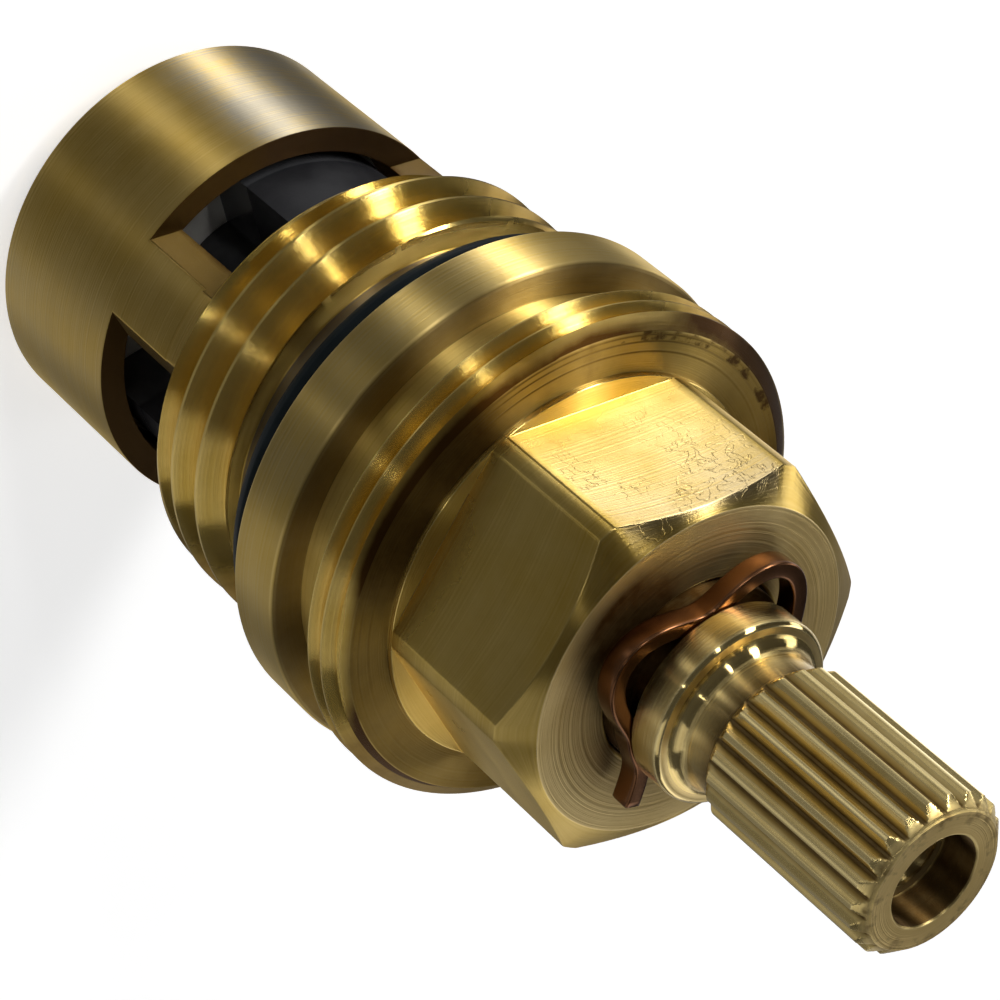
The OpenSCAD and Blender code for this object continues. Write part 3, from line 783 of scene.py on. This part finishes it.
tongue_half, tongue_width, tongue_height, tongue_sunk = 5.3, 4.0, 2.6, 0.05
tongue_turn = math.radians(drive_turn)
tongue_along = np.array([math.cos(tongue_turn), math.sin(tongue_turn), 0])
tongue_path = np.linspace(-tongue_half, tongue_half, 12)[:, None] * tongue_along
tongue_path[:, 2] = flange_low + tongue_sunk - tongue_height / 2
tongue_points, tongue_faces = swept_bar(tongue_path, tongue_width, tongue_height, 0.5)
print("tongue reaches down to", round(tongue_points[:, 2].min(), 2), "mm, the solid to", tongue_low, "mm")

# %% [markdown]
# Spindle and tongue are one piece of brass, so they become one mesh. The tongue's own marks are
# plain: a little dirt and a middling finish.

# %% Finished spindle
all_rows = np.repeat(spindle_angles[None], len(spindle_profile), axis=0)
spindle_points = on_axis(spindle_profile, all_rows).reshape(-1, 3)
spindle_faces = grid_quads(len(spindle_profile), spindle_angles.size)
mark_and_tongue = {"edge": (spindle_edge, 0), "satin": (spindle_satin, 0.4), "run": (spindle_run, 0),
                   "grime": (spindle_grime, 0), "soil_and_shade": (np.clip(spindle_soil_and_shade, 0, 1), 0.3)}
spindle_marks = {name: np.append(values.ravel(), np.full(len(tongue_points), plain))
                 for name, (values, plain) in mark_and_tongue.items()}
brass_spindle = make_piece(
    "brass_spindle", np.concatenate([spindle_points, tongue_points]),
    np.concatenate([spindle_faces, tongue_faces + len(spindle_points)]),
    "spindle_set", "spindle", spindle_marks, sharp=30)

# %% [markdown]
# The clip is a flat-drawn bronze wire with three grips on the spindle's groove and a lobe between
# each two. A curve with a bevel would do, but its section would twist at the lobes.

# %% Wire clip
_, clip_low, clip_high = span("spindle_clip")
grip, lobe, wire_width, clip_points_along = 3.925, 5.6, 0.75, 260
clip_middle, leg_from, leg_to = 103, 90, 128
clip_turn = np.linspace(-leg_to, leg_to, clip_points_along)
lobes = (grip + lobe) / 2 - (lobe - grip) / 2 * np.cos(np.radians(4 * clip_turn))
legs = grip + (lobe - grip) * np.clip((np.abs(clip_turn) - leg_from) / (leg_to - leg_from), 0, 1) ** 5
clip_reach = np.where(np.abs(clip_turn) <= leg_from, lobes, legs)
clip_angle = np.radians(clip_turn + clip_middle)
clip_level = np.full(clip_points_along, (clip_low + clip_high) / 2)
clip_path = on_axis(np.stack([clip_reach, clip_level], axis=-1), clip_angle)
clip_points, clip_faces = swept_bar(clip_path, wire_width, clip_high - clip_low, 0.18)
wire_clip = make_piece("wire_clip", clip_points, clip_faces, "spindle_set", "spindle_clip")

# %% [markdown]
# Seals and rings are turned loops: a closed section spun round the axis. The seal under the collar
# shows the fine parting line that its mould leaves on the outside. Blender's own torus lacks that line.

# %% Seal under the collar
ring_angles = np.linspace(0, 2 * math.pi, 256, endpoint=False)


def turned_ring(name, section, node):
    """A closed section of radius and height points, spun round the axis."""
    rows = np.repeat(np.asarray(section, float)[:, None], ring_angles.size, axis=1)
    points = on_axis(rows, np.repeat(ring_angles[None], len(rows), axis=0))
    faces = grid_quads(len(rows), ring_angles.size, closed_rows=True)
    return make_piece(name, points.reshape(-1, 3), faces, "housing", node)


seal_thick, flash_height, flash_width = 0.875, 0.025, 0.06
section_turn = np.linspace(0, 2 * math.pi, 48, endpoint=False)
flash = flash_height * np.exp(-(np.sin(section_turn) / flash_width) ** 2) * (np.cos(section_turn) > 0)
seal_section = np.stack([relief_radius + seal_thick + (seal_thick + flash) * np.cos(section_turn),
                         collar_low - seal_thick + seal_thick * np.sin(section_turn)], axis=-1)
collar_seal = turned_ring("collar_seal", seal_section, "body_seal_ring")

# %% [markdown]
# The inlet seal has two lips that press on the tap's seat, and a brass sleeve inside keeps it from
# closing in. Each stays a hair clear of what holds it, so that no two surfaces fall together.

# %% Inlet seal and its sleeve
slack = 0.01
sleeve_reach, sleeve_low, sleeve_high = span("seal_support_ring")
seat_reach, seat_low, seat_high = span("seat_seal")
sleeve_bore, lip_break, lip_rise, lip_half, lip_valley = 5.95, 0.16, 0.175, 0.4, 0.35
inner, outer = sleeve_reach + slack, seat_reach - slack
valley = (inner + outer) / 2
lips, _ = round_corners([
    [inner, seat_high], [inner, seat_low + lip_rise], [inner + lip_break, seat_low],
    [valley - lip_half, seat_low], [valley, seat_low + lip_valley], [valley + lip_half, seat_low],
    [outer - lip_break, seat_low], [outer, seat_low + lip_rise], [outer, seat_high],
    [inner, seat_high]], 0.12)
inlet_seal = turned_ring("inlet_seal", lips[:-1, 0], "seat_seal")
inner, outer = sleeve_bore + slack, sleeve_reach - slack
sleeve, _ = round_corners([[inner, sleeve_high], [inner, sleeve_low], [outer, sleeve_low],
                           [outer, sleeve_high], [inner, sleeve_high]], 0.08)
seal_sleeve = turned_ring("seal_sleeve", sleeve[:-1, 0], "seal_support_ring")

# %% [markdown]
# Finishes are built from nodes. Three effects are shared by several of them, so each is a node
# group with named inputs: the rings that a turning tool leaves, fine nicks, and smudges. These
# helpers keep the building of nodes short.

# %% Node helpers
def add(tree, kind, inputs=None, **settings):
    """Add a node, set its options, and fill its inputs: a socket is linked, a number is written in."""
    node = tree.nodes.new(kind)
    for key, value in settings.items():
        setattr(node, key, value)
    for key, value in (inputs or {}).items():
        if isinstance(value, bpy.types.NodeSocket):
            tree.links.new(value, node.inputs[key])
        else:
            node.inputs[key].default_value = value
    return node


def new_group(name, numbers, outputs, placed=True):
    """An empty shader group with named number inputs and outputs, and a Vector input if placed."""
    tree = bpy.data.node_groups.new(name, "ShaderNodeTree")
    if placed:
        tree.interface.new_socket("Vector", in_out="INPUT", socket_type="NodeSocketVector")
    for key, value in numbers.items():
        tree.interface.new_socket(key, in_out="INPUT", socket_type="NodeSocketFloat").default_value = value
    for key in outputs:
        tree.interface.new_socket(key, in_out="OUTPUT", socket_type="NodeSocketFloat")
    return tree, tree.nodes.new("NodeGroupInput").outputs, tree.nodes.new("NodeGroupOutput").inputs


def math_node(tree, operation, first, second=0.0, clamp=False):
    """The result socket of one sum, product or other operation on two values."""
    node = add(tree, "ShaderNodeMath", {0: first, 1: second}, operation=operation, use_clamp=clamp)
    return node.outputs[0]


def remap(tree, value, low, high, out_low=0.0, out_high=1.0):
    """A value stretched from one range to another and held inside it."""
    inputs = {"Value": value, "From Min": low, "From Max": high, "To Min": out_low, "To Max": out_high}
    return add(tree, "ShaderNodeMapRange", inputs).outputs[0]


def mixed(tree, factor, low, high):
    """A colour that goes from low to high as the factor goes from 0 to 1."""
    inputs = {"Factor": factor, "A": low, "B": high}
    return add(tree, "ShaderNodeMix", inputs, data_type="RGBA").outputs["Result"]


def mark(tree, name):
    """The value of one of the marks that a piece carries."""
    return add(tree, "ShaderNodeAttribute", attribute_name=name).outputs["Fac"]


print("node groups so far:", len(bpy.data.node_groups))

# %% [markdown]
# A turning tool leaves rings: fine lines, close together, with slower bands of wear between them.
# Both are noise along the profile only, so every mark goes right round the piece.

# %% Tool rings
tool_rings, given, result = new_group("tool_rings", {"Run": 0.0, "Lines per mm": 8.0}, ["Line", "Band"],
                                      placed=False)
counted = math_node(tool_rings, "MULTIPLY", given["Run"], given["Lines per mm"])
fine_noise = add(tool_rings, "ShaderNodeTexNoise",
                 {"W": counted, "Scale": 1.0, "Detail": 3.0, "Roughness": 0.6}, noise_dimensions="1D")
slow_noise = add(tool_rings, "ShaderNodeTexNoise", {"W": counted, "Scale": 0.12, "Detail": 1.0},
                 noise_dimensions="1D")
tool_rings.links.new(fine_noise.outputs[0], result["Line"])
tool_rings.links.new(slow_noise.outputs[0], result["Band"])
print("outputs:", [socket.name for socket in result if socket.name])

# %% [markdown]
# Nicks from spanners and from other parts in a drawer are thin, bent lines that come in patches.
# Single strokes could be drawn, but a contour line of a soft noise bends in the same way, and a
# second noise keeps it to some patches.

# %% Fine nicks
fine_nicks, given, result = new_group("fine_nicks", {"Amount": 0.5}, ["Nick"])
wander = add(fine_nicks, "ShaderNodeTexNoise",
             {"Vector": given["Vector"], "Scale": 1300.0, "Detail": 2.0, "Distortion": 0.6})
region = add(fine_nicks, "ShaderNodeTexNoise", {"Vector": given["Vector"], "Scale": 260.0, "Detail": 1.0})
off_line = math_node(fine_nicks, "ABSOLUTE", math_node(fine_nicks, "SUBTRACT", wander.outputs[0], 0.5))
on_line = remap(fine_nicks, off_line, 0.016, 0.004)
in_patch = remap(fine_nicks, region.outputs[0], 0.48, 0.6)
line = math_node(fine_nicks, "MULTIPLY", on_line, in_patch)
fine_nicks.links.new(math_node(fine_nicks, "MULTIPLY", line, given["Amount"]), result["Nick"])
print("inputs:", [socket.name for socket in given if socket.name])

# %% [markdown]
# Handling leaves soft patches that change tone and gloss a little. The same group, with smaller
# patches, gives the specks in dirt.

# %% Smudges
smudges, given, result = new_group("smudges", {"Size per mm": 0.25}, ["Patch"])
per_metre = math_node(smudges, "MULTIPLY", given["Size per mm"], 1 / MM)
patch_noise = add(smudges, "ShaderNodeTexNoise",
                  {"Vector": given["Vector"], "Scale": per_metre, "Detail": 4.0, "Roughness": 0.55})
smudges.links.new(remap(smudges, patch_noise.outputs[0], 0.35, 0.65), result["Patch"])
print("node groups:", sorted(group.name for group in bpy.data.node_groups))

# %% [markdown]
# Brass has a warm colour in its reflections themselves, so it is a metal with a coloured base. Its
# tone moves with the rings and the smudges, edges are polished pale by handling, tarnish greys it and
# in places stands for painted shade or a painted pale sheen, and dirt and painted shade of several
# kinds darken it.

# %% Colour, dirt and painted shade of the metal
soil_and_shade_tint, tarnish_and_sheen_tint = (0.085, 0.038, 0.008, 1), (0.40, 0.355, 0.27, 1)


def worn_colour(tree, pale, deep, rings, patch):
    """Base colour before dirt: deep to pale by patch, band and line, pale on edges, grey by tarnish and
    painted sheen.
    """
    tone = math_node(tree, "ADD", math_node(tree, "MULTIPLY", patch, 0.55),
                     math_node(tree, "MULTIPLY", rings["Band"], 0.4))
    tone = math_node(tree, "ADD", tone, remap(tree, rings["Line"], 0.2, 0.8, -0.25, 0.25), clamp=True)
    bright = mixed(tree, mark(tree, "edge"), mixed(tree, tone, deep, pale), pale)
    worn = math_node(tree, "ADD", remap(tree, patch, 0.0, 1.0, 0.3, 0.7),
                     remap(tree, rings["Line"], 0.2, 0.8, -0.2, 0.2))
    # The tarnish mark is real tarnish together with painted shade and a painted pale sheen on highlights.
    tarnish = math_node(tree, "MULTIPLY", mark(tree, "tarnish"), worn, clamp=True)
    return mixed(tree, tarnish, bright, tarnish_and_sheen_tint)


def dirt_and_shade(tree, specks, nick):
    """The strongest of four: speckled dirt and painted shade, painted shade on the slot walls, nicks, and
    ragged grime.
    """
    soil_and_shade = math_node(tree, "MULTIPLY", mark(tree, "soil_and_shade"), remap(tree, specks, 0.0, 0.9, 1.0, 0.93))
    # Painted shade on the walls of the slots.
    soil_and_shade = math_node(tree, "MAXIMUM", soil_and_shade, mark(tree, "slot_shade"))
    soil_and_shade = math_node(tree, "MAXIMUM", soil_and_shade, math_node(tree, "MULTIPLY", nick, 0.6))
    ragged = math_node(tree, "ADD", mark(tree, "grime"), remap(tree, specks, 0.0, 1.0, -0.35, 0.35))
    return math_node(tree, "MAXIMUM", soil_and_shade, remap(tree, ragged, 0.4, 1.1, 0.0, 0.95))


print("dirt and tarnish colours:", soil_and_shade_tint[:3], tarnish_and_sheen_tint[:3])

# %% [markdown]
# The turned skin is satin where the feed was fine, and bright where a form tool cut. Its grooves
# are far too fine for a mesh, but they draw each reflection out into a streak along the axis. That
# is what the shader's anisotropy is for. Faced ends and rolled teeth have no such grooves.

# %% Metal finish
def metal(name, pale, deep, gloss, matt, lines, brushed=0.0):
    """A metal between two colours, with tool rings, nicks, smudges, dirt, painted shade and bright edges.

    Its roughness goes from gloss to matt with the finish of the cut. Brushed metal has its direction
    turned a quarter from the circle round Z, so that a reflection spreads along the axis.
    """
    material = bpy.data.materials.new(name)
    material.use_nodes = True
    tree = material.node_tree
    shader = tree.nodes["Principled BSDF"]
    place = add(tree, "ShaderNodeTexCoord").outputs["Object"]
    rings = add(tree, "ShaderNodeGroup", node_tree=tool_rings)
    tree.links.new(mark(tree, "run"), rings.inputs["Run"])
    rings.inputs["Lines per mm"].default_value = lines
    nicks = add(tree, "ShaderNodeGroup", node_tree=fine_nicks)
    tree.links.new(mark(tree, "nick"), nicks.inputs["Amount"])
    patches = add(tree, "ShaderNodeGroup", node_tree=smudges)
    small = add(tree, "ShaderNodeGroup", node_tree=smudges)
    small.inputs["Size per mm"].default_value = 1.5
    for group in (nicks, patches, small):
        tree.links.new(place, group.inputs["Vector"])
    line, nick = rings.outputs["Line"], nicks.outputs["Nick"]
    patch, specks = patches.outputs["Patch"], small.outputs["Patch"]
    finish = mark(tree, "satin")

    # The soil mark is real dirt mixed with painted shade: corners, slot walls, the inside and the clip's
    # shadow.
    soil_and_shade = dirt_and_shade(tree, specks, nick)
    colour = mixed(tree, soil_and_shade, worn_colour(tree, pale, deep, rings.outputs, patch), soil_and_shade_tint)
    rough = math_node(tree, "ADD", math_node(tree, "MULTIPLY", finish, matt - gloss), gloss)
    rough = math_node(tree, "ADD", rough, math_node(tree, "MULTIPLY", patch, 0.06))
    rough = math_node(tree, "ADD", rough, math_node(tree, "MULTIPLY", soil_and_shade, 0.15))
    rough = math_node(tree, "ADD", rough, math_node(tree, "MULTIPLY", nick, 0.2), clamp=True)
    height = math_node(tree, "MULTIPLY", line, remap(tree, finish, 0.0, 1.0, 0.2, 1.2))
    height = math_node(tree, "ADD", height, math_node(tree, "MULTIPLY", specks, 0.05))
    height = math_node(tree, "SUBTRACT", height, math_node(tree, "MULTIPLY", nick, 0.5))
    bump = add(tree, "ShaderNodeBump", {"Height": height, "Strength": 0.9, "Distance": 0.03 * MM})
    tree.links.new(colour, shader.inputs["Base Color"])
    tree.links.new(rough, shader.inputs["Roughness"])
    tree.links.new(bump.outputs["Normal"], shader.inputs["Normal"])
    shader.inputs["Metallic"].default_value = 1.0
    shader.inputs["Anisotropic"].default_value = brushed
    shader.inputs["Anisotropic Rotation"].default_value = 0.25
    return material


print("groups in a metal:", tool_rings.name, fine_nicks.name, smudges.name)

# %% [markdown]
# Five metals come from that function. The body is a yellow brass and the spindle a paler one with a
# finer cut. The faced ends and the rolled teeth go without streaks, and the clip is a dark bronze.

# %% The five metals
turned_brass = metal("turned_brass", (0.87, 0.64, 0.205, 1), (0.66, 0.44, 0.085, 1),
                     0.17, 0.5, 9.0, brushed=1.0)
bright_brass = metal("bright_brass", (0.86, 0.68, 0.31, 1), (0.62, 0.445, 0.15, 1),
                     0.12, 0.5, 11.0, brushed=1.0)
faced_brass = metal("faced_brass", (0.84, 0.66, 0.32, 1), (0.62, 0.45, 0.17, 1), 0.3, 0.5, 7.0)
spline_brass = metal("spline_brass", (0.91, 0.73, 0.34, 1), (0.66, 0.48, 0.16, 1), 0.13, 0.45, 11.0)
clip_bronze = metal("clip_bronze", (0.24, 0.11, 0.05, 1), (0.11, 0.046, 0.018, 1), 0.2, 0.35, 6.0)
print("nodes in one metal:", len(turned_brass.node_tree.nodes))

# %% [markdown]
# Rubber, moulded plastic and ceramic are not metals: their colour comes from under the surface, and
# only the gloss on top comes from the light. They differ in tone, in roughness and in grain.

# %% Rubber, plastic and ceramic finish
def dull(name, low, high, rough, grain_per_mm, grain, shine=0.5):
    """A non-metal whose colour and gloss vary in patches, with a fine grain in its bump."""
    material = bpy.data.materials.new(name)
    material.use_nodes = True
    tree = material.node_tree
    shader = tree.nodes["Principled BSDF"]
    place = add(tree, "ShaderNodeTexCoord").outputs["Object"]
    patches = add(tree, "ShaderNodeGroup", {"Vector": place, "Size per mm": 0.5}, node_tree=smudges)
    patch = patches.outputs["Patch"]
    noise = add(tree, "ShaderNodeTexNoise", {"Vector": place, "Scale": grain_per_mm / MM, "Detail": 2.0})
    bump = add(tree, "ShaderNodeBump",
               {"Height": noise.outputs[0], "Strength": grain, "Distance": 0.02 * MM})
    tree.links.new(mixed(tree, patch, low, high), shader.inputs["Base Color"])
    tree.links.new(remap(tree, patch, 0, 1, rough - 0.06, rough + 0.06), shader.inputs["Roughness"])
    tree.links.new(bump.outputs["Normal"], shader.inputs["Normal"])
    shader.inputs["Specular IOR Level"].default_value = shine
    return material


seal_rubber = dull("seal_rubber", (0.002, 0.005, 0.006, 1), (0.005, 0.009, 0.011, 1), 0.5, 9.0, 0.25, 0.1)
driver_plastic = dull("driver_plastic", (0.010, 0.010, 0.012, 1), (0.020, 0.020, 0.022, 1),
                      0.5, 5.0, 0.2, 0.3)
lapped_dark = dull("lapped_dark_ceramic", (0.03, 0.03, 0.032, 1), (0.055, 0.055, 0.058, 1), 0.2, 3.0, 0.05)
lapped_pale = dull("lapped_pale_ceramic", (0.66, 0.63, 0.57, 1), (0.78, 0.76, 0.70, 1), 0.22, 3.0, 0.05)
washer_acetal = dull("washer_acetal", (0.70, 0.69, 0.65, 1), (0.80, 0.79, 0.75, 1), 0.4, 4.0, 0.1)
print("nodes in one dull finish:", len(seal_rubber.node_tree.nodes))

# %% [markdown]
# Every new piece and every solid of the frame gets its finish. The solids that a new piece stands
# for aren't shown, but they take the same finish. Discs, driver, washer and the two inner rings are
# shown as they are.

# %% Hand out the finishes
nodes = frame["nodes"]
finishes = {
    turned_brass: [brass_body, seal_sleeve, nodes["headwork_body"], nodes["seal_support_ring"]],
    bright_brass: [brass_spindle, nodes["spindle"]],
    clip_bronze: [wire_clip, nodes["spindle_clip"]],
    seal_rubber: [collar_seal, inlet_seal, nodes["body_seal_ring"], nodes["seat_seal"],
                  nodes["lower_spindle_ring"], nodes["upper_spindle_ring"]],
    washer_acetal: [nodes["slip_washer"]],
    driver_plastic: [nodes["disc_driver"]],
    lapped_dark: [nodes["moving_disc"]],
    lapped_pale: [nodes["fixed_disc"]],
}
for finish, pieces in finishes.items():
    for piece in pieces:
        piece.data.materials.clear()
        piece.data.materials.append(finish)
print("finished pieces:", sum(len(pieces) for pieces in finishes.values()))

# %% [markdown]
# The faced ends of body and spindle, and the rolled teeth, have no grooves round the axis, so those
# faces take the metals without anisotropy.

# %% Faces with a finish of their own
end_above, teeth_above, teeth_outside = 38, 43.3, 2.5
for piece in (brass_body, brass_spindle):
    centres = face_values(piece.data, "center", 3) / MM
    end_face = (face_values(piece.data, "normal", 3)[:, 2] > 0.95) & (centres[:, 2] > end_above)
    on_spline = (centres[:, 2] > teeth_above) & (np.hypot(centres[:, 0], centres[:, 1]) > teeth_outside)
    which = np.where(end_face, 1, 2 * on_spline)
    piece.data.materials.append(faced_brass)
    if on_spline.any():
        piece.data.materials.append(spline_brass)
    piece.data.polygons.foreach_set("material_index", which.astype(np.int32))
    print(piece.name, "faced:", int(end_face.sum()), "on the teeth:", int((which == 2).sum()))

# %% [markdown]
# The studio is a pale floor under a dim sky. The floor is white by a little light of its own,
# so that the part's shadow still shows on it.

# %% Floor
floor_turn = np.linspace(0, 2 * math.pi, 96, endpoint=False)
floor_out = np.array([0.0, 0.2, 0.6, 1.2, 2.5])[:, None]


def stage_sheet(name, out, turn, height):
    """A flat sheet of rings round the axis, in metres, that belongs to the studio and not to the part."""
    level = np.full((len(out), turn.size), height)
    points = np.stack([out * np.cos(turn), out * np.sin(turn), level], axis=-1)
    mesh = bpy.data.meshes.new(name)
    mesh.from_pydata(points.reshape(-1, 3).tolist(), [], grid_quads(len(out), turn.size)[:, ::-1].tolist())
    sheet = put(name, mesh)
    return sheet


floor = stage_sheet("floor", floor_out, floor_turn, 0.0)
floor_paint = bpy.data.materials.new("floor_paint")
floor_paint.use_nodes = True
floor_shader = floor_paint.node_tree.nodes["Principled BSDF"]
floor_shader.inputs["Base Color"].default_value = (0.9, 0.9, 0.9, 1)
floor_shader.inputs["Roughness"].default_value = 1.0
floor_shader.inputs["Specular IOR Level"].default_value = 0.0
floor_shader.inputs["Emission Color"].default_value = (1, 1, 1, 1)
floor_shader.inputs["Emission Strength"].default_value = 0.6
floor.data.materials.append(floor_paint)
print("floor reaches", floor_out.max(), "m")

# %% [markdown]
# Polished metal shows its surroundings, so what the sides mirror matters most: seen from this
# height, they mirror the floor in front. A graded card lies there, out of the picture, as product
# photographers use it. A point of the card is seen at one angle round the body. That angle is found
# in steps: halfway between the camera and the direction from the body's side to the point.

# %% Where each point of the card is mirrored
mirror_radius, card_height = 9.3, 0.25
view_turn = math.atan2(-gaze[1], -gaze[0])
card_turn = np.linspace(0, 2 * math.pi, 240, endpoint=False)
card_out = np.geomspace(9.6, 400, 32)[:, None]


def half_turn(angle):
    """An angle brought into the range from minus half a turn to half a turn."""
    return np.mod(angle + math.pi, 2 * math.pi) - math.pi


mirror_turn = view_turn + half_turn(card_turn - view_turn) / 2 + 0 * card_out
for _ in range(60):
    away_x = card_out * np.cos(card_turn) - mirror_radius * np.cos(mirror_turn)
    away_y = card_out * np.sin(card_turn) - mirror_radius * np.sin(mirror_turn)
    seen = half_turn(np.arctan2(away_y, away_x) - view_turn)
    mirror_turn = 0.5 * mirror_turn + 0.5 * (view_turn + seen / 2)
mirror_bearing = np.degrees(mirror_turn)
print("angles mirrored:", round(mirror_bearing.min()), "to", round(mirror_bearing.max()), "degrees")

# %% [markdown]
# The card's brightness is a sum of soft bands, each with a middle angle, a half width and a height.
# The cage mirrors the near part of the card, body and hexagon the middle, and the spindle the far
# part, so there are three sets. Behind the part, where the two ends of the scale meet, it is dim.

# %% Brightness of the card
near_bands = [[84, 12, 0.25], [93, 5, 0.35], [113, 2, 0.3], [182, 30, 0.5]]
middle_bands = [[50, 9, 0.5], [91, 5.5, 2.0], [113, 1.6, 0.8], [140.5, 0.7, 0.5], [150, 25, 0.035],
                [178, 9, 0.33], [205, 16, 0.2]]
far_bands = [[56, 12, 1.6], [82, 6, 0.7], [115, 4, 0.5], [131, 3, 0.8], [165, 5, 0.4]]
card_dim, near_dim, far_dim = 0.09, 0.04, 0.09


def glow(bands):
    """Sum of soft bands over the mirror angle: a bell curve of each band's width, times its height."""
    return sum(top * np.exp(-((mirror_bearing - middle) / half) ** 2) for middle, half, top in bands)


past_cage = fade(card_out, 14, 30)
for_spindle = fade(card_out, 54, 58) * fade(card_out, 150, 100)
at_back = fade(math.pi - np.abs(seen), 0.25, 0)
levels = (near_dim + glow(near_bands)) * (1 - past_cage) + glow(middle_bands) * (past_cage - for_spindle)
levels += (far_dim + glow(far_bands)) * for_spindle
levels = card_dim + levels * (1 - at_back)
print("card levels:", round(levels.min(), 2), "to", round(levels.max(), 2))

# %% [markdown]
# The card shines by itself and is seen only in reflections, so it neither lights the floor nor
# throws a shadow.

# %% Graded card on the floor
card = stage_sheet("graded_card", card_out * MM, card_turn, card_height * MM)
level_data = card.data.attributes.new("level", "FLOAT", "POINT").data
level_data.foreach_set("value", levels.ravel().astype(np.float32))
card.visible_camera = False
card.visible_diffuse = False
card.visible_shadow = False
card_paint = bpy.data.materials.new("graded_card")
card_paint.use_nodes = True
card_tree = card_paint.node_tree
card_tree.nodes.clear()
card_glow = add(card_tree, "ShaderNodeEmission", {"Strength": mark(card_tree, "level")})
add(card_tree, "ShaderNodeOutputMaterial", {"Surface": card_glow.outputs[0]})
card.data.materials.append(card_paint)
print("card points:", levels.size)

# %% [markdown]
# The sky is dim and a little brighter overhead, so that the lamps and the card draw the streaks.

# %% Sky
sky = bpy.data.worlds.new("studio_sky")
bpy.context.scene.world = sky
sky.use_nodes = True
sky_tree = sky.node_tree
sky_direction = add(sky_tree, "ShaderNodeTexCoord").outputs["Generated"]
sky_rise = add(sky_tree, "ShaderNodeSeparateXYZ", {0: sky_direction}).outputs[2]
sky_level = remap(sky_tree, sky_rise, 0.0, 0.75, 0.05, 0.08)
sky_tree.links.new(sky_level, sky_tree.nodes["Background"].inputs["Color"])
print("sky nodes:", len(sky_tree.nodes))

# %% [markdown]
# In the photograph, bright streaks run along the body at a few angles. A strip lamp gives such a
# streak, if it stands where the turned surface mirrors it at that angle. So each lamp is given by
# the streak's angle, and its place follows. The last one stands behind and lights the far edge.

# %% Strip lamps
lamp_distance, lamp_aim = 0.45, np.array([0, 0, 0.026])


def strip_lamp(name, streak, spread, height, length, watts):
    """A strip lamp that puts a streak on every turned surface at one angle round the axis.

    With v the direction to the camera and t the direction round the axis at the streak, a lamp in
    direction l shines there if the sum of v and l has no part along t. So the part of l along t is
    minus that of v, and the strip's long side follows the arc on which that stays so.
    """
    angle, raised = math.radians(streak), math.radians(height)
    around_axis = np.array([-math.sin(angle), math.cos(angle), 0])
    outward = np.array([math.cos(angle), math.sin(angle), 0])
    part = gaze @ around_axis
    upward = math.cos(raised) * outward + math.sin(raised) * np.array([0, 0, 1])
    toward = part * around_axis + math.sqrt(1 - part ** 2) * upward
    along = np.cross(toward, around_axis)
    along /= np.linalg.norm(along)
    data = bpy.data.lights.new(name, "AREA")
    data.shape = "RECTANGLE"
    data.size = lamp_distance * math.radians(spread)
    data.size_y = length
    data.energy = watts
    set_axes(put(name, data), np.cross(along, toward), along, toward, toward * lamp_distance + lamp_aim)


strip_lamp("broad_strip", 90, 8, 30, 0.36, 1.2)
strip_lamp("narrow_strip", 113, 1.6, 35, 0.36, 0.3)
strip_lamp("thin_strip", 140.5, 0.8, 35, 0.36, 0.06)
strip_lamp("side_strip", 175, 34, 35, 0.36, 0.17)
strip_lamp("edge_strip", 53, 12, 35, 0.36, 0.27)
strip_lamp("back_lamp", 41.5, 30, 130, 0.3, 0.25)
